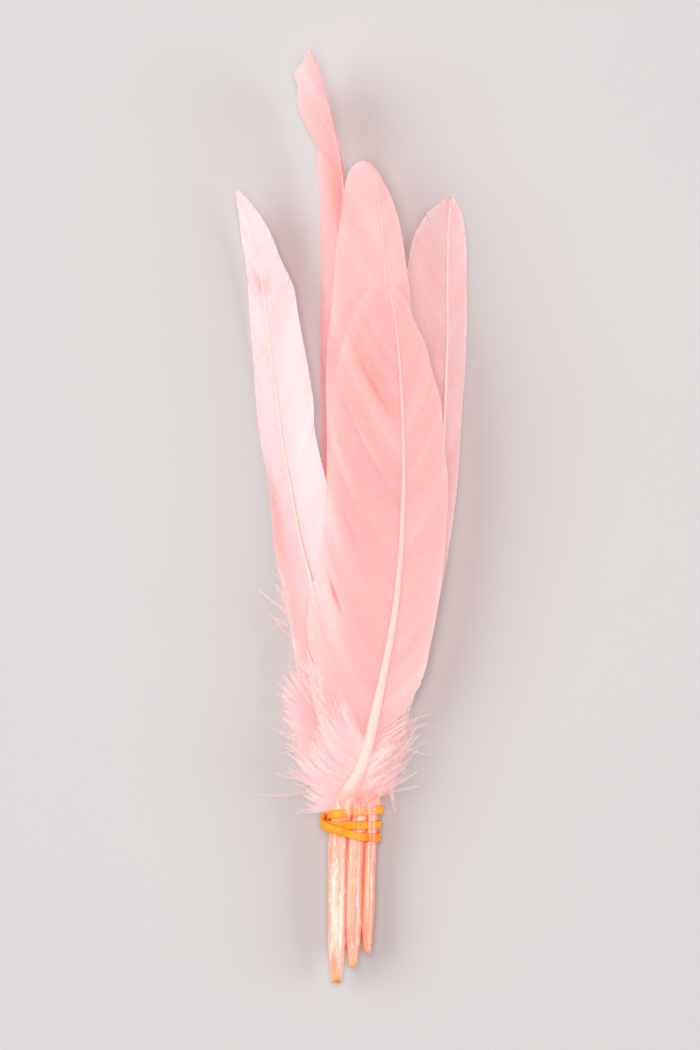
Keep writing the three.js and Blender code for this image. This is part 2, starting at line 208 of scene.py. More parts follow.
# How far tipward a barb ends, in widths of its vane, by its place along the vane.
BARB_SWEEP = [(0, 0.45), (0.12, 0.75), (0.25, 1.15), (0.4, 1.6), (0.6, 1.9), (1, 2.0)]
STEEPEST_SWEEP = 0.8      # the fall above which a vane's barbs are swept no further
BARB_BOW = 0.22           # how much a barb bows towards the tip
BARB_COLUMNS = 11         # steps along a barb
BARB_ROWS = 3             # rows of points across it: one side, its middle, the other side
BARB_DRIFTS = {"wide": 14, "clump": 5, "near": 2.5, "far": 9}    # over how many barbs each runs
EDGE_STEPS = 800          # places along a vane's edge where the foot of the barb is known
RIDGE_HEIGHT = 0.02       # how far the middle of a barb stands above its two sides
LOWEST_VANE = 0.12        # vanes stay above this height

# How far the barbs at the foot of a vane have come apart: (root y, from 0 to 1).
LOOSE_LEFT = [(-62, 0.8), (-58, 0.35), (-54, 0.12), (-48, 0.04), (-42, 0)]
LOOSE_RIGHT = [(-62, 1), (-57, 0.9), (-52, 0.55), (-47, 0.12), (-40, 0)]

# Gaps where barbs have parted: (side, root y, from share, to share, width at the widest).
SLITS = {
    "feather_front": [
        (-1, -22.5, 0.55, 0.8, 0.25), (-1, -39.2, 0.64, 0.86, 0.3), (1, -49.0, 0.2, 1.3, 0.7),
        (1, -51.5, 0.2, 1.3, 0.6), (-1, 6.0, 0.85, 1.3, 0.25),
    ],
    "feather_behind_front": [(-1, 40.0, 0.85, 1.3, 0.3), (1, 33.0, 0.7, 1.3, 0.3)],
    "feather_right": [(-1, 36.0, 0.8, 1.3, 0.3)],
    "feather_left": [(-1, -5.5, 0.7, 1.3, 0.35), (-1, 13.5, 0.8, 1.3, 0.3)],
}

# Soft streaks along the barbs: (side, root y, its spread, share, its spread, paler, raised).
# Some streaks are the dye's own and some are painted light and shade, as said for each.
DYE_AND_LIGHT_STREAKS = {
    # Painted shade in the crease near root y 20 and the slit at y -39; painted highlights on raised
    # barbs.
    "feather_front": [
        (-1, 19.2, 1.0, 0.52, 0.3, -0.34, -0.2), (-1, 23.0, 2.8, 0.42, 0.4, -0.15, 0.1),
        (-1, -13.5, 2.2, 0.85, 0.2, 0.3, 0.12), (-1, 3.0, 0.7, 0.5, 0.2, 0.24, 0.06),
        (-1, -17.0, 1.6, 0.75, 0.25, -0.08, -0.06), (-1, -30.0, 3.5, 0.85, 0.2, 0.25, 0.1),
        (-1, -42.0, 5.0, 0.75, 0.25, 0.3, 0.0), (1, -30.0, 4.0, 0.6, 0.3, -0.1, 0.0),
        (1, 0.0, 60.0, 0.5, 0.9, 0.06, 0.0), (-1, -39.2, 0.7, 0.745, 0.08, -0.9, -0.1),
    ],
    # Painted light: paler at the left vane's edge, where the upper feathers' shadow falls.
    "feather_right": [(-1, 15.0, 30.0, 0.85, 0.45, 0.35, 0.0)],
    # The two broad paler streaks over the vanes are a painted sheen.
    "feather_left": [
        (1, 2.0, 28.0, 0.5, 0.6, 0.43, 0.0), (-1, 27.0, 30.0, 0.5, 0.5, 0.25, 0.0),
        (-1, 51.0, 2.5, 0.2, 0.4, -0.5, 0.0), (1, 51.0, 2.5, 0.1, 0.3, -0.4, 0.0),
        (-1, -10.0, 12.0, 0.9, 0.4, -0.45, 0.0), (-1, -40.0, 12.0, 0.6, 0.8, -0.5, 0.0),
        (1, -36.0, 10.0, 0.6, 0.8, -0.45, 0.0),
    ],
    # Painted highlight on the fold near the tip; painted shade along the shaft, in the fold and low
    # down.
    "feather_tall_narrow": [
        (-1, 90.0, 5.0, 0.9, 0.4, 0.3, 0.0), (1, 76.0, 14.0, 0.8, 0.9, -0.45, 0.0),
        (-1, 71.0, 10.0, 0.1, 0.55, -0.55, 0.0), (-1, 84.0, 3.0, 0.4, 0.3, -0.2, 0.0),
        (-1, 5.0, 14.0, 0.3, 0.6, -0.4, 0.0), (-1, 35.0, 12.0, 0.4, 0.6, -0.15, 0.0),
    ],
}

# The shafts and quills.
SHAFT_AROUND = 20         # faces round a shaft
QUILL_RINGS = 40          # rings along a bare quill
RACHIS_RINGS = 90         # rings along the shaft between the vanes
HOLLOW_DEPTH = 6.0        # how deep a quill is hollow at its cut end
HOLLOW_MOUTH = 0.7        # how wide the hollow is at the cut, as a share of the quill
HOLLOW_END = 0.6          # how wide it is at its end
YELLOWED_LENGTH = 4.5     # how far from the cut a quill has yellowed
CUT_SLANT = 0.45          # how far the edge of the cut stands out of square

# How pale each quill is, as painted light and shade:
# paler on the top quill, deeper on the right one, which lies lower in the others' shade.
QUILL_LIGHT_TONES = {
    "feather_front": 0.62, "feather_behind_front": 0.32, "feather_right": 0.08,
    "feather_left": 0.55, "feather_tall_narrow": 0.4,
}

# How much of the vane's dye each shaft has taken.
SHAFT_DYES = {
    "feather_front": 0.0, "feather_behind_front": 0.35, "feather_right": 0.0,
    "feather_left": 0.0, "feather_tall_narrow": 1.0,
}

# How much of the pale feather's own colour each shaft has.
SHAFT_BLUSHES = {
    "feather_front": 0.0, "feather_behind_front": 0.0, "feather_right": 0.75,
    "feather_left": 0.5, "feather_tall_narrow": 0.0,
}

# The down and the other loose strands. Thicknesses are radii.
STRAND_POINTS = 11        # points along a strand
STRAND_WOBBLE = (0.05, 0.05, 0.03)    # how much a strand's direction wanders at each point
LOWEST_DOWN = 0.4         # strands stay above this height
LOWEST_BARBULE = 0.08     # and the tips of their barbules above this one
BARBULE_PITCH = 0.1       # how far apart the pairs of barbules are on a strand
BARBULE_RADIUS = 0.015
TUFT_RADIUS = 0.028
EDGE_RADIUS = 0.035
MATTED_RADIUS = 0.03
WISP_RADIUS = 0.05
LINT_RADIUS = 0.09
LINT_Y, LINT_OUT = 22.0, 7.9          # where the lint lies, and how far out from the shaft
TUFT_SCATTER = 9          # how much the angles in a tuft vary, in degrees
DOWN_UNEVENNESS = 0.4     # how much the strands of a piece of down differ in tone

# Tufts of down along the shafts: feather, side, first and last root y, how many, shortest and
# longest strand, and the angles from the shaft at the first and last root, in degrees.
TUFTS = [
    ("feather_front", -1, -63, -50, 300, 8, 13, 55, 45),
    ("feather_front", -1, -66, -60, 85, 4, 8, 92, 70),
    ("feather_front", 1, -63, -54, 80, 5, 9, 65, 50),
    ("feather_behind_front", -1, -64, -48, 90, 8, 12, 55, 50),
    ("feather_behind_front", 1, -64, -50, 60, 7, 11, 70, 42),
    ("feather_left", -1, -63, -50, 220, 7, 12, 60, 75),
    ("feather_left", -1, -51, -43, 220, 9, 14, 78, 58),
    ("feather_right", 1, -63, -50, 45, 7, 11, 65, 45),
    ("feather_tall_narrow", -1, -64, -50, 60, 8, 12, 60, 55),
]

# Fuzz along the edge of a vane: feather, side, first and last y, how many strands.
FUZZ = [("feather_front", -1, -50, -34, 70), ("feather_left", -1, -26, -12, 16)]

# Fluff matted over the quills above the tie: first and last y, how many strands.
MATTED = (-66.5, -59.5, 330)

# Hairs caught by the band: how many, the least and the greatest x at which they cross it, the
# y where they end, how much that varies, and how thick they are.
HAIRS = [(12, 1.2, 5.4, -74.0, 2.0, 0.018), (24, -1.4, 4.2, -67.3, 0.7, 0.026)]
HAIR_RISE = (-75.5, -73.2)    # from y to y, the hairs climb to the top of the band
HAIR_FALL = (-65, -62)        # and from y to y they come down to the quills again
HAIR_HEIGHT = 12.75           # how high they lie on the band

# Single wisps: start, heading, length.
WISPS = [
    ((-14.5, -21.5, 4.0), (-6.5, 4.2, 0.5), 8.0), ((-14.4, -24.5, 4.0), (-4, 2.2, 0.4), 5.0),
    ((-13.6, -27.0, 3.6), (-3.5, 2.8, 0.3), 4.5), ((-13.9, -19.0, 3.4), (-3.5, 3.8, 0.2), 5.0),
    ((-9.5, -51.5, 5.0), (-6.0, -1.6, -0.4), 7.5), ((-8.6, -57.0, 5.0), (-7.4, -1.8, -0.5), 8.5),
    ((-9.0, -61.5, 4.6), (-9.9, -2.6, -0.6), 12.0), ((-6.5, -64.6, 6.0), (-5.3, -2.7, -0.5), 6.5),
    ((-9.4, -59.0, 4.0), (-6.8, -0.2, -0.4), 8.0), ((9.0, -51.0, 5.5), (7.8, -3.2, -0.5), 9.0),
    ((7.6, -57.2, 5.5), (2.0, -5.0, -0.4), 9.5), ((8.6, -60.0, 5.5), (0.6, -5.0, -0.5), 5.8),
    ((10.0, -47.5, 6.0), (7.5, 3.5, -0.3), 9.0), ((9.5, -49.0, 6.0), (8.0, 1.2, -0.4), 8.5),
]

# Where each kind of piece starts its random draws. Pieces of a kind count on from there.
SEEDS = {
    "vanes": 100, "shaft": 200, "tuft": 300, "edge": 330, "matted": 340, "hairs": 341,
    "wisps": 350, "lint": 360,
}

# The lamps, which all point at the bunch: name, place in metres, size, power, colour.
COOL, WARM = (0.83, 0.98, 1.0), (1.0, 0.86, 0.84)
LAMPS = [
    ("key_light", (-1.5, 0.35, 1.25), 1.5, 43.5, COOL),
    ("top_light", (-0.05, 0.1, 1.8), 0.6, 26.5, WARM),
    ("fill_light", (1.6, -0.1, 0.95), 1.2, 27.0, COOL),
]
WORLD_STRENGTH = 0.25
FLOOR_SIZE = 6.0          # in metres
CAMERA_X, CAMERA_Y = -0.34, -1.8      # in millimetres
FOCAL_LENGTH = 250.0


def along(points, place, column=1):
    """The value at a place of a smooth curve through points, for one place or an array."""
    knots = np.asarray(points, float)
    at, value = knots[:, 0], knots[:, column]
    slope = np.empty(len(at))
    slope[1:-1] = (value[2:] - value[:-2]) / (at[2:] - at[:-2])
    slope[0] = (value[1] - value[0]) / (at[1] - at[0])
    slope[-1] = (value[-1] - value[-2]) / (at[-1] - at[-2])
    place = np.clip(np.asarray(place, float), at[0], at[-1])
    i = np.clip(np.searchsorted(at, place, side="right") - 1, 0, len(at) - 2)
    step = at[i + 1] - at[i]
    t = (place - at[i]) / step
    return (
        (2 * t**3 - 3 * t**2 + 1) * value[i]
        + (t**3 - 2 * t**2 + t) * step * slope[i]
        + (3 * t**2 - 2 * t**3) * value[i + 1]
        + (t**3 - t**2) * step * slope[i + 1]
    )


def smooth(low, high, value):
    """0 below low, 1 above high, and a soft step in between."""
    t = np.clip((value - low) / (high - low), 0, 1)
    return t * t * (3 - 2 * t)


def shaft_radius(feather, y):
    """The radius of a feather's shaft, from its cut end to its tip."""
    full = feather["quill_radius"]
    end, tip = feather["shaft"][0][0], feather["shaft"][-1][0]
    taper = [
        (end, 0.6 * full), (end + 5, 0.85 * full), (end + 11, full), (-62, full),
        (-55, 0.78 * full), (-41, 0.54 * full), (-20, 0.37 * full), (5, 0.27 * full),
        (35, 0.33), (tip, SHAFT_TIP_RADIUS),
    ]
    return along(taper, y)


def shaft_x(feather, y):
    """x of the middle of a feather's shaft, drawn in where the quills are tied."""
    return along(feather["shaft"], y) * (1 - QUILL_SQUEEZE * (1 - smooth(-64, -54, y)))


def wander(rng, count, span):
    """Smooth random values, one per barb, that change over about span barbs."""
    knots = rng.normal(size=int(count / span) + 4)
    place = np.arange(count) / span + 1
    return along(np.column_stack([np.arange(len(knots)), knots]), place)


# Mesh tools


def deselect_all():
    """Leaves nothing selected."""
    for thing in bpy.context.selected_objects:
        thing.select_set(False)


def editing(piece, select_mode="VERT"):
    """Opens a piece in edit mode, with its selection as it stands."""
    deselect_all()
    piece.select_set(True)
    bpy.context.view_layer.objects.active = piece
    modes = [select_mode == kind for kind in ("VERT", "EDGE", "FACE")]
    bpy.context.tool_settings.mesh_select_mode = modes
    bpy.ops.object.mode_set(mode="EDIT")


def grid_piece(name, points):
    """A grid primitive laid through points, an array of rows and columns in millimetres.

    It returns the piece, and the row and column of each of its vertices.
    """
    rows, columns = points.shape[:2]
    deselect_all()
    bpy.ops.mesh.primitive_grid_add(x_subdivisions=columns - 1, y_subdivisions=rows - 1, size=2)
    piece = bpy.context.object
    piece.name = piece.data.name = name
    flat = np.empty(len(piece.data.vertices) * 3)
    piece.data.vertices.foreach_get("co", flat)
    flat = flat.reshape(-1, 3)
    column = np.rint((flat[:, 0] + 1) / 2 * (columns - 1)).astype(int)
    row = np.rint((flat[:, 1] + 1) / 2 * (rows - 1)).astype(int)
    piece.data.vertices.foreach_set("co", (points[row, column] * MM).ravel())
    piece.data.update()
    return piece, row, column


def store(piece, name, values):
    """Keeps one number per vertex on a piece, for its material to read."""
    layer = piece.data.attributes.new(name, "FLOAT", "POINT")
    layer.data.foreach_set("value", np.asarray(values, np.float32))


def weld(piece, fill=False, outwards=False):
    """Joins the vertices that meet, and can close open ends and turn the faces outwards."""
    editing(piece)
    bpy.ops.mesh.select_all(action="SELECT")
    bpy.ops.mesh.remove_doubles(threshold=1e-6)
    if fill:
        bpy.ops.mesh.select_all(action="SELECT")
        bpy.ops.mesh.fill_holes(sides=0)
    if outwards:
        bpy.ops.mesh.select_all(action="SELECT")
        bpy.ops.mesh.normals_make_consistent(inside=False)
    bpy.ops.object.mode_set(mode="OBJECT")


def shade(piece, material, slot, *nodes):
    """Finishes a piece: smooth faces, its material and what it stands for."""
    piece.data.materials.clear()
    piece.data.materials.append(material)
    piece.data.polygons.foreach_set("use_smooth", [True] * len(piece.data.polygons))
    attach(piece, "root")
    if nodes:
        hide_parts(*nodes)


# Vanes


class Vane:
    """One side of a feather: where its barbs start and end, and the surface they lie on."""

    def __init__(self, feather, hand):
        side = "left" if hand < 0 else "right"
        self.feather, self.hand = feather, hand
        self.widths = feather[side]
        self.fall = feather[side + "_fall"]
        self.droop = feather[side + "_droop"]
        tip = feather["shaft"][-1][0]
        self.edges = np.linspace(VANE_START, tip, EDGE_STEPS)
        place = (self.edges - VANE_START) / (tip - VANE_START)
        slope = np.hypot(1, np.minimum(along(self.fall, self.edges), STEEPEST_SWEEP))
        sweep = along(BARB_SWEEP, place) * slope * along(self.widths, self.edges)
        rising = 1e-6 * np.arange(EDGE_STEPS)
        self.roots = np.maximum.accumulate(self.edges - sweep) + rising

    def surface(self, y, out):
        """x and z of the vane at a distance out from the shaft's middle."""
        shaft = self.feather["shaft"]
        least = shaft_radius(self.feather, y) + LEAST_VANE
        width = np.maximum(along(self.widths, y), least)
        drop = along(self.fall, y) * out + along(self.droop, y) * (out / width) ** 2
        return shaft_x(self.feather, y) + self.hand * out, along(shaft, y, 2) - drop

    def barb(self, root, share):
        """y and out along a barb that starts at root."""
        edge = np.interp(root, self.roots, self.edges)
        width = along(self.widths, edge)
        bow = BARB_BOW * share * (1 - share)
        return root + (edge - root) * (share - bow), width * (share + bow)


def loose_barbs(hand, root, share):
    """How far barbs have come apart: from 0, zipped together, to 1, free strands."""
    return along(LOOSE_LEFT if hand < 0 else LOOSE_RIGHT, root) * smooth(0.05, 0.55, share)


def parting(slits, hand, root, share, middle):
    """How far a row of barbs is pushed along the shaft by the gaps near it."""
    push = np.zeros_like(share)
    for side, place, low, high, width in slits:
        if side != hand:
            continue
        opening = np.sin(np.pi * np.clip((share - low) / (high - low), 0, 1))
        away = middle - place
        push += np.where(away < 0, -0.5, 0.5) * width * opening * np.exp(-np.abs(away) / 3)
    return root + push


def part_barbs(piece, row):
    """Takes out the faces between one barb and the next, so that the barbs are free."""
    corners = np.empty(len(piece.data.polygons) * 4, int)
    piece.data.polygons.foreach_get("vertices", corners)
    between = row[corners.reshape(-1, 4)].min(1) % BARB_ROWS == BARB_ROWS - 1
    editing(piece, "FACE")
    bpy.ops.mesh.select_all(action="DESELECT")
    bpy.ops.object.mode_set(mode="OBJECT")
    piece.data.polygons.foreach_set("select", between)
    editing(piece, "FACE")
    bpy.ops.mesh.delete(type="FACE")
    bpy.ops.object.mode_set(mode="OBJECT")


def vane_sheet(name, feather, sizes, seed):
    """The barbs of both sides of a feather as one sheet of ridges, parted where they part."""
    rng = np.random.default_rng(seed)
    vanes = {hand: Vane(feather, hand) for hand in (-1, 1)}
    first = max(vane.roots[0] for vane in vanes.values())
    last = min(vane.roots[-1] for vane in vanes.values())
    pitch = sizes.barb_pitch / MM
    count = int((last - first) / pitch)
    middles = first + pitch * (np.arange(count) + 0.5)
    rows = BARB_ROWS * count
    barb_of_row = np.arange(rows) // BARB_ROWS
    lean = np.tile([-1, 0, 1], count)[:, None]
    middle = middles[barb_of_row][:, None]

    points, tones = [], []
    for hand in (-1, 1):
        vane = vanes[hand]
        share = np.linspace(0, 1, BARB_COLUMNS + 1)[None, :] ** 0.9
        share = np.repeat(share, rows, 0)
        loose = loose_barbs(hand, middle, share)
        noise = {
            key: wander(rng, count, span)[barb_of_row][:, None]
            for key, span in BARB_DRIFTS.items()
        }
        single = rng.normal(size=count)[barb_of_row][:, None]
        ragged = rng.uniform(0.0, 1.0, size=count)[barb_of_row][:, None]

        root = middle + lean * pitch / 2 * (1 - 0.6 * loose)
        root = parting(SLITS.get(name, []), hand, root, share, middle)
        y, out = vane.barb(np.clip(root, vane.roots[0], vane.roots[-1]), share)
        frayed = smooth(0.8, 1.0, share)
        y = y + loose * share * (1.6 * noise["clump"] + 0.9 * single) - 0.35 * frayed * ragged
        out = out * (1 + loose * share * (0.16 * noise["near"] + 0.1 * single + 0.1))
        tip = feather["shaft"][-1][0]
        x, z = vane.surface(np.minimum(y, tip), out)
        z = z + RIDGE_HEIGHT * (lean == 0) * smooth(0.0, 0.1, share)
        z = z + (0.07 * noise["wide"] + 0.03 * noise["clump"]) * smooth(0.05, 0.5, share)
        z = z + loose * share * (0.5 * noise["near"] + 0.35 * single)

        tone = 0.5 + 0.05 * noise["wide"] * share + 0.035 * noise["clump"] + 0.02 * single
        tone = tone + 0.04 * noise["far"] * (1 - share) + 0.12 * frayed + 0.3 * loose
        tone = tone + 0.25 * (1 - smooth(-50, -15, middle)) * share
        # The streaks add the dye's own tone and painted light and shade.
        for side, at, spread, where, broad, paler, raised in DYE_AND_LIGHT_STREAKS.get(name, []):
            if side == hand:
                near = np.exp(-(((middle - at) / spread) ** 2) - ((share - where) / broad) ** 2)
                tone = tone + paler * near
                z = z + raised * near
        z = np.maximum(z, LOWEST_VANE)
        points.append(np.stack([x, np.broadcast_to(y, x.shape), z], -1))
        tones.append(np.broadcast_to(tone, x.shape))
    points, tones = (
        np.concatenate([left[:, ::-1], right[:, 1:]], 1) for left, right in (points, tones)
    )
    piece, row, column = grid_piece(name + "_vanes", points)
    store(piece, "tone", np.clip(tones, 0, 1)[row, column])
    part_barbs(piece, row)
    weld(piece)
    return piece


# Shafts and quills


def shaft_body(name, feather, seed):
    """The shaft from its cut, hollow quill end to near the tip, as one closed tube."""
    rng = np.random.default_rng(seed)
    angle = np.linspace(0, 2 * math.pi, SHAFT_AROUND + 1)[None, :]
    end, tip = feather["shaft"][0][0], feather["shaft"][-1][0] - SHAFT_STOPS_SHORT
    quill = np.linspace(end, VANE_START, QUILL_RINGS)
    rachis = np.linspace(VANE_START, tip, RACHIS_RINGS)[1:]
    y = np.concatenate([quill, rachis])[:, None]
    radius = shaft_radius(feather, y)
    wobble = 1 + 0.012 * np.sin(5 * angle + 0.03 * y + rng.uniform(0, 6))
    wobble = wobble + 0.01 * np.sin(3 * angle - 0.11 * y + rng.uniform(0, 6))
    bare = 1 - smooth(-60, -52, y)
    radius = radius * (1 + (wobble - 1) * bare)
    radius = radius + along(QUILL_SWELL, y) * bare * smooth(0, 8, y - end)
    groove = 0.3 * radius * (1 - bare) * np.exp(-(((angle - 1.5 * math.pi) / 0.4) ** 2))
    cut = (1 - smooth(0, 5, y - end)) * CUT_SLANT * np.sin(angle + rng.uniform(0, 6))
    x = shaft_x(feather, y) + radius * np.cos(angle)
    tall = radius * (1 - SHAFT_FLATNESS * (1 - bare))
    z = along(feather["shaft"], y, 2) + tall * np.sin(angle) + groove
    outer = np.stack([x, y + cut, z], -1)
    centre = np.array([[shaft_x(feather, end), end, along(feather["shaft"], end, 2)]])
    rim = outer[0] - centre
    mouth = centre + rim * np.array([HOLLOW_MOUTH, 1.0, HOLLOW_MOUTH])
    deep = centre + rim * np.array([HOLLOW_END, 0.2, HOLLOW_END])
    deep = deep + np.array([0, HOLLOW_DEPTH, 0.1])
    rings = np.concatenate([deep[None], mouth[None], outer], 0)
    piece, row, column = grid_piece(name + "_shaft", rings)
    inside = np.concatenate([[1.0, 1.0], np.zeros(len(outer))])
    store(piece, "inside", inside[row])
    store(piece, "tone", np.full(len(row), QUILL_LIGHT_TONES[name]))
    place = rings[row, column, 1]
    store(piece, "dyed", SHAFT_DYES[name] * smooth(-50, -10, place))
    store(piece, "blush", np.full(len(row), SHAFT_BLUSHES[name]))
    store(piece, "cut", 1 - smooth(0, YELLOWED_LENGTH, place - end))
    weld(piece, fill=True, outwards=True)
    return piece


# The band


def reach(y, angle):
    """How far the tied quills reach at y in a direction, and the point where they do."""
    best = None
    for feather in FEATHERS.values():
        x, z = float(shaft_x(feather, y)), float(along(feather["shaft"], y, 2))
        radius = float(shaft_radius(feather, y))
        distance = x * math.cos(angle) + z * math.sin(angle) + radius
        if best is None or distance > best[0]:
            best = (distance, (x + radius * math.cos(angle), z + radius * math.sin(angle)))
    return best


def taut_loop():
    """A taut loop round the bundle: rows of x, z, angle and length so far."""
    loop = []
    length = 0.0
    for angle in np.linspace(0, 2 * math.pi, LOOP_STEPS + 1):
        x, z = reach(BAND["middle"], angle)[1]
        if loop:
            length += math.hypot(x - loop[-1][0], z - loop[-1][1])
        loop.append((x, z, angle, length))
    return np.array(loop)


def band_body(sizes):
    """The band as one closed strand, wound three times round the quills."""
    loop = taut_loop()
    whole = loop[-1, 3]
    half, thick = sizes.band_width / MM / 2, sizes.band_thickness / MM
    # A flat section with its corners cut back, drawn once round.
    section = []
    for across, up in ((-1, 0), (-1, 1), (1, 1), (1, 0)):
        inwards, level = -1 if across > 0 else 1, 1 if up == 0 else -1
        side, height = across * half, up * thick
        points = [
            (side + inwards * BAND_CORNER, height),
            (side + inwards * BAND_CORNER * 0.3, height + level * BAND_CORNER * 0.3),
            (side, height + level * BAND_CORNER),
        ]
        section += points if (across > 0) == (up > 0) else points[::-1]
    section.append(section[0])
    rings = []
    for k in range(BAND["turns"] * BAND_STEPS + 1):
        turn = (k / BAND_STEPS) % BAND["turns"]
        wanted = (turn % 1) * whole
        x, z, angle = (np.interp(wanted, loop[:, 3], loop[:, c]) for c in range(3))
        y = float(along(BAND["slide"], turn))
        furthest = max(reach(y - half, angle)[0], reach(y + half, angle)[0])
        shift = furthest - reach(BAND["middle"], angle)[0]
        layer = float(along(BAND["lift"], turn)) * (thick + BAND["clearance"])
        inner = BAND["clearance"] + shift + layer
        twist = 0.06 * math.sin(5.1 * turn) + 0.05 * math.sin(13.7 * turn)
        ring = []
        for side, up in section:
            out = inner + up + twist * side * 0.5
            bulge = 0.03 * math.sin(21 * turn + side)
            ring.append(
                (x + math.cos(angle) * out, y + side + bulge, z + math.sin(angle) * out)
            )
        rings.append(ring)
    piece, _, _ = grid_piece("band", np.array(rings))
    weld(piece, outwards=True)
    return piece


# Down


def strand(start, heading, length, curl, rng):
    """A bent strand: its points, evenly spaced, from start."""
    points = np.empty((STRAND_POINTS, 3))
    points[0] = start
    direction = np.array(heading, float)
    direction /= np.linalg.norm(direction)
    step = length / (STRAND_POINTS - 1)
    for k in range(1, STRAND_POINTS):
        direction = direction + np.asarray(curl) * step + rng.normal(size=3) * STRAND_WOBBLE
        direction /= np.linalg.norm(direction)
        points[k] = points[k - 1] + direction * step
        points[k, 2] = max(points[k, 2], LOWEST_DOWN)
    return points


def strand_mesh(points, radius, longest, rng):
    """Vertices and faces of a ridged strand with fine flat barbules down both sides."""
    count = len(points)
    tangent = np.gradient(points, axis=0)
    tangent /= np.linalg.norm(tangent, axis=1)[:, None] + 1e-9
    sideways = np.cross(tangent, [0, 0, 1.0])
    sideways /= np.linalg.norm(sideways, axis=1)[:, None] + 1e-9
    above = np.cross(sideways, tangent)
    half = radius * np.linspace(1, 0.2, count)[:, None]
    ridge = [points - sideways * half, points + above * half * 0.8, points + sideways * half]
    ridge = np.stack(ridge, 1).reshape(-1, 3)
    faces = [
        (3 * k + side, 3 * k + side + 1, 3 * k + side + 4, 3 * k + side + 3)
        for k in range(count - 1) for side in (0, 1)
    ]
    length = np.linalg.norm(np.diff(points, axis=0), axis=1).sum()
    pairs = max(4, int(length / BARBULE_PITCH))
    place = (np.arange(2 * pairs) // 2 + rng.uniform(0.1, 0.9, 2 * pairs)) / pairs
    hand = np.tile([-1.0, 1.0], pairs)[:, None]
    k = np.minimum((place * (count - 1)).astype(int), count - 2)
    part = (place * (count - 1) - k)[:, None]
    foot = points[k] * (1 - part) + points[k + 1] * part
    size = longest * (1 - 0.8 * place) * rng.uniform(0.6, 1.2, 2 * pairs)
    away = hand * sideways[k] * rng.uniform(0.6, 1.0, (2 * pairs, 1))
    away = away + tangent[k] * rng.uniform(0.3, 1.0, (2 * pairs, 1))
    away = away + above[k] * rng.normal(size=(2 * pairs, 1)) * 0.35
    away /= np.linalg.norm(away, axis=1)[:, None]
    tip = foot + away * size[:, None]
    tip[:, 2] = np.maximum(tip[:, 2], LOWEST_BARBULE)
    wide = np.cross(away, above[k]) * BARBULE_RADIUS
    blades = np.stack([foot + wide, foot - wide, tip], 1).reshape(-1, 3)
    first = len(ridge)
    faces += [(first + 3 * i, first + 3 * i + 1, first + 3 * i + 2) for i in range(2 * pairs)]
    return np.concatenate([ridge, blades]), faces


def down_piece(name, strands, rng, sizes, low_tone, barbule_share=1.0):
    """One piece of down from a list of (points, radius) strands.

    low_tone is the tone of its deepest strand, and barbule_share shortens its barbules.
    """
    longest = sizes.barbule_length / MM * barbule_share
    vertices, faces, tones = [], [], []
    total = 0
    for points, radius in strands:
        more_vertices, more_faces = strand_mesh(points, radius, longest, rng)
        vertices.append(more_vertices)
        faces += [tuple(total + i for i in face) for face in more_faces]
        tone = rng.uniform(low_tone, low_tone + DOWN_UNEVENNESS)
        tones.append(np.full(len(more_vertices), tone))
        total += len(more_vertices)
    mesh = bpy.data.meshes.new(name)
    mesh.from_pydata((np.concatenate(vertices) * MM).tolist(), [], faces)
    piece = bpy.data.objects.new(name, mesh)
    bpy.context.scene.collection.objects.link(piece)
    store(piece, "tone", np.concatenate(tones))
    return piece


def tuft_strands(tuft, rng):
    """The strands of a tuft, each from the side of its shaft, bending towards the tips."""
    name, hand, first, last, count, shortest, longest, wide, narrow = tuft
    feather = FEATHERS[name]
    strands = []
    for i in range(count):
        place = (i + rng.uniform(0, 1)) / count
        y = first + (last - first) * place
        angle = math.radians(wide + (narrow - wide) * place + rng.normal() * TUFT_SCATTER)
        radius = float(shaft_radius(feather, y))
        x, z = float(shaft_x(feather, y)), float(along(feather["shaft"], y, 2))
        start = (x + hand * radius * 0.8, y, z + radius * rng.uniform(-0.3, 0.5))
        heading = (hand * math.sin(angle), math.cos(angle), rng.normal() * 0.22 - 0.1)
        curl = (-hand * 0.012, 0.035, -0.012)
        length = rng.uniform(shortest, longest)
        strands.append((strand(start, heading, length, curl, rng), TUFT_RADIUS))
    return strands


def edge_strands(fuzz, rng):
    """Short strands that stand out of a vane's edge and lean towards the tips."""
    name, hand, first, last, count = fuzz
    vane = Vane(FEATHERS[name], hand)
    strands = []
    for y in rng.uniform(first, last, count):
        out = float(along(vane.widths, y)) * rng.uniform(0.8, 1.0)
        x, z = (float(value) for value in vane.surface(y, out))
        heading = (hand * rng.uniform(0.25, 0.9), 1.0, rng.normal() * 0.25)
        points = strand((x, y, z), heading, rng.uniform(2.5, 5.5), (0.0, 0.01, -0.02), rng)
        strands.append((points, EDGE_RADIUS))
    return strands


def top_of_quills(x, y):
    """How high the tied quills stand at a place."""
    tops = [0.5]
    for feather in FEATHERS.values():
        radius = float(shaft_radius(feather, y))
        aside = x - float(shaft_x(feather, y))
        if abs(aside) < radius:
            tops.append(float(along(feather["shaft"], y, 2)) + math.sqrt(radius**2 - aside**2))
    return max(tops)


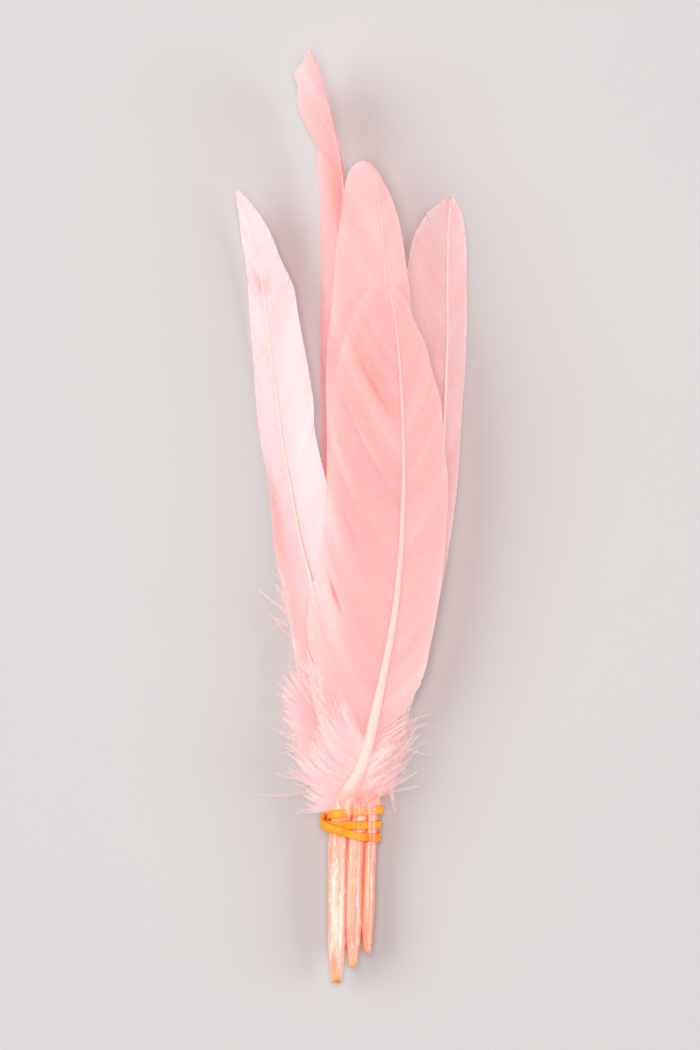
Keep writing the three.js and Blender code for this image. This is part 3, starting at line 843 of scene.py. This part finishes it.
def matted_strands(rng):
    """Fluff that lies matted over the quills above the tie."""
    first, last, count = MATTED
    strands = []
    for _ in range(count):
        y = rng.uniform(first, last)
        spread = 0.5 + 0.5 * float(smooth(first, last, y))
        x = rng.normal() * 3.2 * spread + (1.6 if y < -62 else 0.5)
        x = float(np.clip(x, -7, 8.5))
        z = top_of_quills(x, y) + rng.uniform(0.1, 0.8)
        # None of it starts on the front feather's shaft.
        if y > -62.5 and abs(x - shaft_x(FEATHERS["feather_front"], y)) < 1.8:
            continue
        heading = (rng.normal() * 0.4, rng.choice([-1.0, 0.4]), rng.normal() * 0.1)
        points = strand((x, y, z), heading, rng.uniform(2.5, 5), (0.0, 0.03, 0.0), rng)
        # What would run on over the band is drawn in towards the band's edge.
        keep = points[:, 1] > first + 0.3
        points[~keep, 1] = first + 0.3 + 0.3 * (points[~keep, 1] - first - 0.3)
        for point in points:
            point[2] = max(point[2], top_of_quills(point[0], point[1]) + 0.12)
        strands.append((points, MATTED_RADIUS))
    return strands


def hair_strands(rng):
    """Hairs that cross over the band."""
    strands = []
    for count, left, right, lowest, spread, radius in HAIRS:
        for _ in range(count):
            x, bend = rng.uniform(left, right), rng.normal() * 0.5
            end = lowest + rng.uniform(-spread, spread)
            y = np.linspace(rng.uniform(-64.5, -63), end, STRAND_POINTS)
            over = smooth(*HAIR_RISE, y) * (1 - smooth(*HAIR_FALL, y))
            low = np.array([top_of_quills(x, at) + 0.25 for at in y])
            z = low * (1 - over) + HAIR_HEIGHT * over
            across = x + bend * np.sin((y + 64) / 5) + rng.normal() * 0.02 * (y + 64)
            strands.append((np.column_stack([across, y, z]), radius))
    return strands


def lint_strand():
    """A hooked fibre of lint, on the left vane of the front feather."""
    vane = Vane(FEATHERS["feather_front"], -1)
    turn = np.linspace(0, 4.2, STRAND_POINTS)
    y = LINT_Y + 0.35 * np.cos(turn)
    out = LINT_OUT + 0.3 * np.sin(turn) + 0.05 * turn
    x, z = vane.surface(y, out)
    return np.column_stack([x, y, z + 0.45])


# Materials


def new_material(name):
    """A material with a Principled shader in it: the material, its tree and its two nodes."""
    material = bpy.data.materials.new(name)
    material.use_nodes = True
    tree = material.node_tree
    tree.nodes.clear()
    output = tree.nodes.new("ShaderNodeOutputMaterial")
    surface = tree.nodes.new("ShaderNodeBsdfPrincipled")
    tree.links.new(surface.outputs["BSDF"], output.inputs["Surface"])
    return material, tree, surface, output


def plug(tree, made, inputs):
    """Gives a node's inputs a value or a link each. i6 means the input with number 6."""
    for key, value in inputs.items():
        numbered = key[0] == "i" and key[1:].isdigit()
        socket = made.inputs[int(key[1:]) if numbered else key]
        if isinstance(value, bpy.types.NodeSocket):
            tree.links.new(value, socket)
        else:
            socket.default_value = value
    return made


def node(tree, kind, settings=None, **inputs):
    """Adds a node, with settings for it and values or links for its inputs."""
    made = tree.nodes.new(kind)
    for key, value in (settings or {}).items():
        setattr(made, key, value)
    return plug(tree, made, inputs)


def use_group(tree, group, **inputs):
    """Adds a node group, and returns its outputs."""
    made = tree.nodes.new("ShaderNodeGroup")
    made.node_tree = group
    return plug(tree, made, inputs).outputs


def mix_colour(tree, share, one, other):
    """A colour between one, at a share of 0, and the other, at 1."""
    made = node(tree, "ShaderNodeMix", {"data_type": "RGBA"}, i0=share, i6=one, i7=other)
    return made.outputs[2]


def math_node(tree, operation, one, other=0.0, clamp=False):
    """One step of arithmetic on two numbers."""
    settings = {"operation": operation, "use_clamp": clamp}
    return node(tree, "ShaderNodeMath", settings, i0=one, i1=other).outputs[0]


def map_range(tree, value, low, high, at_low=0.0, at_high=1.0, steps="SMOOTHSTEP"):
    """A value that goes from at_low to at_high as another goes from low to high."""
    made = node(tree, "ShaderNodeMapRange", {"interpolation_type": steps}, Value=value)
    plug(tree, made, {"From Min": low, "From Max": high, "To Min": at_low, "To Max": at_high})
    return made.outputs["Result"]


def soft_noise(tree, place, scale, detail):
    """A soft noise of about 0.5 on average."""
    made = node(tree, "ShaderNodeTexNoise", None, Vector=place, Scale=scale, Detail=detail)
    return made.outputs["Fac"]


def object_place(tree):
    """Where a point lies, in metres."""
    return node(tree, "ShaderNodeTexCoord").outputs["Object"]


def attribute(tree, name):
    """A number that was stored on the piece."""
    return node(tree, "ShaderNodeAttribute", {"attribute_name": name}).outputs["Fac"]


def bump(tree, height, strength, distance):
    """A normal that follows a height."""
    made = node(tree, "ShaderNodeBump", None, Height=height, Strength=strength, Distance=distance)
    return made.outputs["Normal"]


def group_sockets(group, inputs, outputs):
    """Gives a node group its inputs and outputs, and returns the nodes that hold them."""
    for name, kind in inputs:
        group.interface.new_socket(name=name, in_out="INPUT", socket_type="NodeSocket" + kind)
    for name, kind in outputs:
        group.interface.new_socket(name=name, in_out="OUTPUT", socket_type="NodeSocket" + kind)
    return group.nodes.new("NodeGroupInput"), group.nodes.new("NodeGroupOutput")


def dye_group():
    """Uneven dye: a colour between a deep, a middle and a pale one, with a soft mottle."""
    group = bpy.data.node_groups.new("Uneven dye", "ShaderNodeTree")
    source, result = group_sockets(
        group,
        [
            ("Deep", "Color"), ("Dye", "Color"), ("Pale", "Color"), ("Tone", "Float"),
            ("Mottle", "Float"),
        ],
        [("Colour", "Color"), ("Tone", "Float")],
    )
    given = source.outputs
    place = object_place(group)
    patches, specks = soft_noise(group, place, 75.0, 3.0), soft_noise(group, place, 900.0, 2.0)
    both = math_node(group, "ADD", patches, specks)
    drift = math_node(group, "SUBTRACT", both, 1.0)
    drift = math_node(group, "MULTIPLY", drift, given["Mottle"])
    tone = math_node(group, "ADD", given["Tone"], drift, clamp=True)
    lower = math_node(group, "MULTIPLY", tone, 2.0, clamp=True)
    upper = math_node(group, "SUBTRACT", math_node(group, "MULTIPLY", tone, 2.0), 1.0, clamp=True)
    colour = mix_colour(group, lower, given["Deep"], given["Dye"])
    colour = mix_colour(group, upper, colour, given["Pale"])
    plug(group, result, {"Colour": colour, "Tone": tone})
    return group


def lengthwise_group():
    """Fine lines along Y: a mask of light and dark lines, and their height."""
    group = bpy.data.node_groups.new("Lengthwise lines", "ShaderNodeTree")
    source, result = group_sockets(
        group,
        [("Fineness", "Float"), ("Length", "Float"), ("Contrast", "Float")],
        [("Mask", "Float"), ("Height", "Float")],
    )
    fine, long = source.outputs["Fineness"], source.outputs["Length"]
    stretch = node(group, "ShaderNodeCombineXYZ", None, X=fine, Y=long, Z=fine).outputs[0]
    multiply = {"operation": "MULTIPLY"}
    scaled = node(group, "ShaderNodeVectorMath", multiply, i0=object_place(group), i1=stretch)
    lines = soft_noise(group, scaled.outputs[0], 1.0, 4.0)
    away = math_node(group, "SUBTRACT", lines, 0.5)
    away = math_node(group, "MULTIPLY", away, source.outputs["Contrast"])
    mask = math_node(group, "ADD", away, 0.5, clamp=True)
    plug(group, result, {"Mask": mask, "Height": lines})
    return group


def translucent(tree, surface, output, colour, share):
    """Lets some light through a thin surface."""
    through = node(tree, "ShaderNodeBsdfTranslucent", None, Color=colour).outputs["BSDF"]
    whole = surface.outputs["BSDF"]
    both = node(tree, "ShaderNodeMixShader", None, i0=share, i1=whole, i2=through)
    plug(tree, output, {"Surface": both.outputs[0]})


def barb_material(name, dye, deep, middle, pale, shift):
    """Barbs of a vane: satin, dyed unevenly along the barbs, and a little see-through."""
    material, tree, surface, output = new_material(name)
    tone = math_node(tree, "ADD", attribute(tree, "tone"), shift)
    dyed = use_group(tree, dye, Deep=deep, Dye=middle, Pale=pale, Tone=tone, Mottle=0.22)
    plug(tree, surface, {
        "Base Color": dyed["Colour"],
        "Roughness": map_range(tree, dyed["Tone"], 0.0, 1.0, 0.62, 0.5, "LINEAR"),
        "Specular IOR Level": 0.25,
        "Sheen Weight": 0.15,
        "Sheen Roughness": 0.4,
    })
    translucent(tree, surface, output, dyed["Colour"], 0.5)
    return material


def down_material(name, dye, deep, middle, pale):
    """Down: matt, with the sheen of fine fluff."""
    material, tree, surface, output = new_material(name)
    tone = attribute(tree, "tone")
    dyed = use_group(tree, dye, Deep=deep, Dye=middle, Pale=pale, Tone=tone, Mottle=0.3)
    plug(tree, surface, {
        "Base Color": dyed["Colour"],
        "Roughness": map_range(tree, dyed["Tone"], 0.0, 1.0, 0.85, 0.7, "LINEAR"),
        "Specular IOR Level": 0.2,
        "Sheen Weight": 0.6,
        "Sheen Roughness": 0.5,
        "Sheen Tint": (1.0, 0.85, 0.85, 1.0),
    })
    translucent(tree, surface, output, dyed["Colour"], 0.45)
    return material


def shaft_material(dye, lines, colours):
    """Cream where it carries the vanes, glossy peach horn in the bare quill."""
    material, tree, surface, _ = new_material("feather_shaft_horn")
    y = node(tree, "ShaderNodeSeparateXYZ", None, Vector=object_place(tree)).outputs["Y"]
    bare = map_range(tree, y, -0.0655, -0.0605, 1.0, 0.0)
    tipward = map_range(tree, y, -0.055, 0.03)

    # The bare quill: streaked, with painted white highlights along it, yellowed at its cut.
    streaks = use_group(tree, lines, Fineness=1100.0, Length=50.0, Contrast=3.5)
    broad = use_group(tree, lines, Fineness=420.0, Length=70.0, Contrast=3.0)
    glint_lines = use_group(tree, lines, Fineness=1500.0, Length=260.0, Contrast=1.0)
    both = math_node(tree, "ADD", streaks["Mask"], broad["Mask"])
    grain = math_node(tree, "SUBTRACT", math_node(tree, "MULTIPLY", both, 0.5), 0.5)
    # Its stored tone is painted light and shade, paler on the top quill; the grain is the horn's own.
    tone = math_node(tree, "ADD", attribute(tree, "tone"), grain)
    horn = use_group(
        tree, dye, Deep=colours.quill_deep, Dye=colours.quill, Pale=colours.quill_pale,
        Tone=tone, Mottle=0.5,
    )
    # Painted white highlights along the quill, stronger on the paler quills.
    glints = map_range(tree, glint_lines["Height"], 0.57, 0.68, 0.0, 0.75)
    glints = math_node(tree, "MULTIPLY", glints, math_node(tree, "MULTIPLY", tone, 1.3, clamp=True))
    quill = mix_colour(tree, glints, horn["Colour"], colours.quill_glint)
    yellowed = math_node(tree, "MULTIPLY", attribute(tree, "cut"), 0.8)
    yellowed = math_node(tree, "MULTIPLY", yellowed, attribute(tree, "tone"))
    quill = mix_colour(tree, yellowed, quill, colours.quill_end)

    # The shaft between the vanes, with as much of their dye as it has taken.
    cream = mix_colour(tree, tipward, colours.shaft_base, colours.shaft_tip)
    cream = mix_colour(tree, attribute(tree, "dyed"), cream, colours.shaft_dyed)
    cream = mix_colour(tree, attribute(tree, "blush"), cream, colours.shaft_blush)

    whole = mix_colour(tree, bare, cream, quill)
    whole = mix_colour(tree, attribute(tree, "inside"), whole, colours.quill_inside)
    height = math_node(tree, "ADD", streaks["Height"], broad["Height"])
    plug(tree, surface, {
        "Base Color": whole,
        "Roughness": map_range(tree, bare, 0.0, 1.0, 0.48, 0.3),
        "Subsurface Weight": 0.5,
        "Subsurface Radius": (1.0, 0.6, 0.45),
        "Subsurface Scale": 0.0025,
        "Coat Weight": math_node(tree, "MULTIPLY", bare, 0.35),
        "Coat Roughness": 0.15,
        "Normal": bump(tree, height, 0.8, 0.0002),
    })
    return material


def rubber_material(colours):
    """Orange rubber: satin, in soft patches of a deeper and a paler orange: painted shade and painted
    highlights.
    """
    material, tree, surface, _ = new_material("orange_rubber")
    place = object_place(tree)
    fine = soft_noise(tree, place, 2600.0, 2.0)
    patches = node(tree, "ShaderNodeValToRGB", None, Fac=soft_noise(tree, place, 260.0, 3.0))
    ramp = patches.color_ramp.elements
    ramp[0].position = 0.35
    ramp[0].color = colours.band_deep
    ramp[1].position = 0.72
    ramp[1].color = colours.band_highlight
    ramp.new(0.52).color = colours.band
    plug(tree, surface, {
        "Base Color": patches.outputs["Color"],
        "Roughness": map_range(tree, fine, 0.0, 1.0, 0.3, 0.55, "LINEAR"),
        "Specular IOR Level": 0.25,
        "Subsurface Weight": 0.15,
        "Subsurface Radius": (1.0, 0.4, 0.1),
        "Subsurface Scale": 0.0008,
        "Normal": bump(tree, fine, 0.35, 0.0001),
    })
    return material


def lint_material(colours):
    """A matt fibre of lint."""
    material, tree, surface, _ = new_material("magenta_lint")
    fuzz = soft_noise(tree, object_place(tree), 4000.0, 2.0)
    colour = mix_colour(tree, fuzz, colours.lint, colours.lint_pale)
    plug(tree, surface, {"Base Color": colour, "Roughness": 0.9})
    return material


def floor_material(colours):
    """A pale matt floor with faint clouds."""
    material, tree, surface, _ = new_material("pale_floor")
    place = object_place(tree)
    clouds = math_node(tree, "MULTIPLY", soft_noise(tree, place, 14.0, 4.0), 0.7)
    grain = math_node(tree, "MULTIPLY", soft_noise(tree, place, 700.0, 2.0), 0.3)
    both = math_node(tree, "ADD", clouds, grain)
    colour = mix_colour(tree, both, colours.floor, colours.floor_pale)
    plug(tree, surface, {"Base Color": colour, "Roughness": 0.85, "Specular IOR Level": 0.1})
    return material


def shared(name, build):
    """A node group that is built once and then used again."""
    return bpy.data.node_groups.get(name) or build()


# The add-on


def length_property(name, description, default):
    """A length in metres that a user can change."""
    return bpy.props.FloatProperty(
        name=name, description=description, default=default, min=0.0, precision=5, unit="LENGTH",
    )


def colour_property(name, description, default):
    """A colour that a user can change."""
    return bpy.props.FloatVectorProperty(
        name=name, description=description, default=(*default, 1.0), size=4, min=0.0, max=1.0,
        subtype="COLOR",
    )


class FeatherBunchSizes(bpy.types.PropertyGroup):
    """The bunch's sizes"""

    barb_pitch: length_property("Barb pitch", "Distance between barbs along a shaft", 0.0006)
    barbule_length: length_property("Barbule length", "Longest hair on a strand of down", 0.0017)
    band_width: length_property("Band width", "Width of the rubber band's strand", 0.00195)
    band_thickness: length_property("Band thickness", "Thickness of the rubber band", 0.001)
    camera_height: length_property("Camera height", "Height of the camera above the floor", 1.645)


class FeatherBunchColours(bpy.types.PropertyGroup):
    """The bunch's colours"""

    # The deep and pale pinks are the dye's own and also the streaks' painted shade and highlights.
    pink_deep: colour_property("Deep pink", "Where the dye pooled", (0.96, 0.30, 0.23))
    pink: colour_property("Pink", "The vanes' dye", (0.97, 0.475, 0.465))
    pink_pale: colour_property("Pale pink", "Where the dye took least", (0.97, 0.66, 0.65))
    # The pale blush is also the pale feather's painted sheen.
    blush_deep: colour_property("Deep blush", "Shaded parts of the pale feather", (0.97, 0.48, 0.43))
    blush: colour_property("Blush", "The pale feather's dye", (0.97, 0.70, 0.72))
    blush_pale: colour_property("Pale blush", "The pale feather's lightest barbs", (0.97, 0.88, 0.90))
    # The lowest feather's greyer pink is painted shade, for the shade it lies in under the others.
    shaded_deep: colour_property("Deep dusty pink", "The dusty feather's shade", (0.92, 0.46, 0.46))
    shaded: colour_property("Dusty pink", "The dusty feather's dye", (0.95, 0.585, 0.59))
    shaded_pale: colour_property("Pale dusty pink", "The dusty feather's light", (0.92, 0.86, 0.87))
    down_deep: colour_property("Deep down", "Down close to the quills", (0.98, 0.58, 0.56))
    down: colour_property("Down", "The down's dye", (0.98, 0.72, 0.72))
    down_pale: colour_property("Pale down", "The lightest strands", (0.98, 0.82, 0.82))
    matted_deep: colour_property("Deep matted down", "Down that soaked up the dye", (0.96, 0.45, 0.28))
    matted: colour_property("Matted down", "Down stuck together above the tie", (0.97, 0.72, 0.68))
    shaft_base: colour_property("Shaft base", "The shaft at the foot of the vanes", (0.88, 0.43, 0.37))
    shaft_tip: colour_property("Shaft tip", "The shaft towards the tip", (0.87, 0.33, 0.305))
    shaft_dyed: colour_property("Dyed shaft", "Where a shaft took the dye", (0.87, 0.29, 0.275))
    shaft_blush: colour_property("Blush shaft", "The pale feather's shaft", (0.92, 0.54, 0.49))
    quill_deep: colour_property("Deep quill", "Dark streaks in the bare quill", (0.88, 0.24, 0.15))
    quill: colour_property("Quill", "The bare quill", (0.90, 0.30, 0.21))
    quill_pale: colour_property("Pale quill", "Light streaks in the bare quill", (0.92, 0.47, 0.38))
    # The quill glint is a painted white highlight along the bare quills.
    quill_glint: colour_property("Quill glint", "Painted white highlights on the bare quill", (0.96, 0.85, 0.81))
    quill_end: colour_property("Quill end", "The yellowed cut end", (0.92, 0.42, 0.13))
    quill_inside: colour_property("Quill hollow", "Inside of the cut end", (0.90, 0.38, 0.10))
    # The band's deep and pale patches are painted shade and painted highlights.
    band_deep: colour_property("Deep band", "Shaded rubber", (0.88, 0.15, 0.002))
    band: colour_property("Band", "The rubber band", (0.92, 0.235, 0.003))
    band_highlight: colour_property("Band highlight", "Painted highlights on the rubber", (0.93, 0.31, 0.008))
    lint: colour_property("Lint", "A speck of lint", (0.60, 0.06, 0.55))
    lint_pale: colour_property("Pale lint", "The lint's lighter fibres", (0.80, 0.25, 0.75))
    floor: colour_property("Floor", "The floor", (0.40, 0.378, 0.378))
    floor_pale: colour_property("Pale floor", "Lighter clouds on the floor", (0.425, 0.40, 0.40))


def settings():
    """The sizes and the colours as they are set."""
    scene = bpy.context.scene
    return scene.feather_bunch_sizes, scene.feather_bunch_colours


class FEATHERS_OT_vanes(bpy.types.Operator):
    """Build the vanes of the five feathers"""

    bl_idname = "feathers.vanes"
    bl_label = "Vanes"

    def execute(self, context):
        sizes, colours = settings()
        dye = shared("Uneven dye", dye_group)
        pink = (colours.pink_deep, colours.pink, colours.pink_pale)
        blush = (colours.blush_deep, colours.blush, colours.blush_pale)
        shaded = (colours.shaded_deep, colours.shaded, colours.shaded_pale)
        # A shift makes a feather paler: on the right and the narrow feather, painted light against the
        # others' shade.
        looks = {
            "feather_front": ("pink_barbs_front", pink, 0.0, "feather_pink"),
            "feather_behind_front": ("pink_barbs_behind", pink, 0.13, "feather_pink"),
            "feather_right": ("shaded_barbs", shaded, 0.12, "feather_pink"),
            "feather_left": ("pale_barbs", blush, 0.0, "feather_pale"),
            "feather_tall_narrow": ("pink_barbs_narrow", pink, 0.2, "feather_pink"),
        }
        for number, (name, feather) in enumerate(FEATHERS.items()):
            label, dyes, shift, slot = looks[name]
            piece = vane_sheet(name, feather, sizes, SEEDS["vanes"] + number)
            shade(piece, barb_material(label, dye, *dyes, shift), slot, name)
        return {"FINISHED"}


class FEATHERS_OT_shafts(bpy.types.Operator):
    """Build the shafts and the bare quills"""

    bl_idname = "feathers.shafts"
    bl_label = "Shafts and quills"

    def execute(self, context):
        _, colours = settings()
        dye = shared("Uneven dye", dye_group)
        lines = shared("Lengthwise lines", lengthwise_group)
        horn = shaft_material(dye, lines, colours)
        for number, (name, feather) in enumerate(FEATHERS.items()):
            piece = shaft_body(name, feather, SEEDS["shaft"] + number)
            shade(piece, horn, "quill", name)
        return {"FINISHED"}


class FEATHERS_OT_down(bpy.types.Operator):
    """Build the loose down at the foot of the vanes"""

    bl_idname = "feathers.down"
    bl_label = "Down"

    def execute(self, context):
        sizes, colours = settings()
        dye = shared("Uneven dye", dye_group)
        loose = (colours.down_deep, colours.down, colours.down_pale)
        soaked = (colours.matted_deep, colours.matted, colours.down_pale)
        fluff = down_material("pink_down", dye, *loose)
        salmon = down_material("salmon_down", dye, *soaked)
        for number, tuft in enumerate(TUFTS):
            rng = np.random.default_rng(SEEDS["tuft"] + number)
            name = f"down_{tuft[0].removeprefix('feather_')}_{number + 1}"
            piece = down_piece(name, tuft_strands(tuft, rng), rng, sizes, low_tone=0.45)
            shade(piece, fluff, "down")
        for number, fuzz in enumerate(FUZZ):
            rng = np.random.default_rng(SEEDS["edge"] + number)
            name = f"down_edge_{fuzz[0].removeprefix('feather_')}"
            piece = down_piece(name, edge_strands(fuzz, rng), rng, sizes, 0.5, 0.5)
            shade(piece, fluff, "down")
        rng = np.random.default_rng(SEEDS["matted"])
        piece = down_piece("down_matted", matted_strands(rng), rng, sizes, 0.15, 0.6)
        shade(piece, salmon, "down")
        rng = np.random.default_rng(SEEDS["hairs"])
        piece = down_piece("down_hairs", hair_strands(rng), rng, sizes, 0.3, 0.12)
        shade(piece, salmon, "down")
        rng = np.random.default_rng(SEEDS["wisps"])
        wisps = [
            (strand(start, heading, length, (0.0, 0.01, -0.01), rng), WISP_RADIUS)
            for start, heading, length in WISPS
        ]
        shade(down_piece("down_wisps", wisps, rng, sizes, 0.2), fluff, "down")
        return {"FINISHED"}


class FEATHERS_OT_band(bpy.types.Operator):
    """Build the rubber band round the quills"""

    bl_idname = "feathers.band"
    bl_label = "Rubber band"

    def execute(self, context):
        sizes, colours = settings()
        shade(band_body(sizes), rubber_material(colours), "band_rubber", "rubber_band")
        return {"FINISHED"}


class FEATHERS_OT_lint(bpy.types.Operator):
    """Put the fibre of lint on the front feather"""

    bl_idname = "feathers.lint"
    bl_label = "Lint"

    def execute(self, context):
        sizes, colours = settings()
        rng = np.random.default_rng(SEEDS["lint"])
        piece = down_piece("lint", [(lint_strand(), LINT_RADIUS)], rng, sizes, 0.4, 0.12)
        shade(piece, lint_material(colours), "lint")
        return {"FINISHED"}


class FEATHERS_OT_stage(bpy.types.Operator):
    """Set up the floor, the light and the camera"""

    bl_idname = "feathers.stage"
    bl_label = "Floor, light and camera"

    def execute(self, context):
        sizes, colours = settings()
        deselect_all()
        bpy.ops.mesh.primitive_plane_add(size=FLOOR_SIZE)
        floor = bpy.context.object
        floor.name = "floor"
        floor.data.materials.append(floor_material(colours))

        world = bpy.data.worlds.new("studio")
        world.use_nodes = True
        sky = world.node_tree.nodes["Background"]
        sky.inputs["Color"].default_value = (*WARM, 1.0)
        sky.inputs["Strength"].default_value = WORLD_STRENGTH
        context.scene.world = world

        for name, place, size, power, colour in LAMPS:
            lamp = bpy.data.lights.new(name, "AREA")
            lamp.size = size
            lamp.energy = power
            lamp.color = colour
            holder = bpy.data.objects.new(name, lamp)
            holder.location = place
            direction = -holder.location.normalized()
            holder.rotation_euler = direction.to_track_quat("-Z", "Y").to_euler()
            context.scene.collection.objects.link(holder)

        # A new camera looks straight down.
        lens = bpy.data.cameras.new("camera")
        lens.lens = FOCAL_LENGTH
        lens.clip_start, lens.clip_end = 0.05, 20.0
        camera = bpy.data.objects.new("camera", lens)
        camera.location = (CAMERA_X * MM, CAMERA_Y * MM, sizes.camera_height)
        context.scene.collection.objects.link(camera)
        context.scene.camera = camera
        context.scene.view_settings.view_transform = "Standard"
        return {"FINISHED"}


class FEATHERS_PT_panel(bpy.types.Panel):
    """Builds the bunch piece by piece"""

    bl_label = "Quill feather bunch"
    bl_idname = "FEATHERS_PT_panel"
    bl_space_type = "VIEW_3D"
    bl_region_type = "UI"
    bl_category = "Feathers"

    def draw(self, context):
        layout = self.layout
        for group in (context.scene.feather_bunch_sizes, context.scene.feather_bunch_colours):
            box = layout.box()
            for name in group.bl_rna.properties.keys():
                if name not in ("rna_type", "name"):
                    box.prop(group, name)
        for operator in BUILDERS:
            layout.operator(operator.bl_idname)


BUILDERS = (
    FEATHERS_OT_vanes,
    FEATHERS_OT_shafts,
    FEATHERS_OT_down,
    FEATHERS_OT_band,
    FEATHERS_OT_lint,
    FEATHERS_OT_stage,
)
CLASSES = (FeatherBunchSizes, FeatherBunchColours, *BUILDERS, FEATHERS_PT_panel)


def register():
    """Adds the classes, and the settings to the scene."""
    for one in CLASSES:
        bpy.utils.register_class(one)
    scene = bpy.types.Scene
    scene.feather_bunch_sizes = bpy.props.PointerProperty(type=FeatherBunchSizes)
    scene.feather_bunch_colours = bpy.props.PointerProperty(type=FeatherBunchColours)


def unregister():
    """Takes away what register added."""
    del bpy.types.Scene.feather_bunch_colours
    del bpy.types.Scene.feather_bunch_sizes
    for one in reversed(CLASSES):
        bpy.utils.unregister_class(one)


def main():
    """Builds the bunch and its stage."""
    register()
    bpy.ops.feathers.vanes()
    bpy.ops.feathers.shafts()
    bpy.ops.feathers.down()
    bpy.ops.feathers.band()
    bpy.ops.feathers.lint()
    bpy.ops.feathers.stage()


if __name__ == "__main__":
    main()
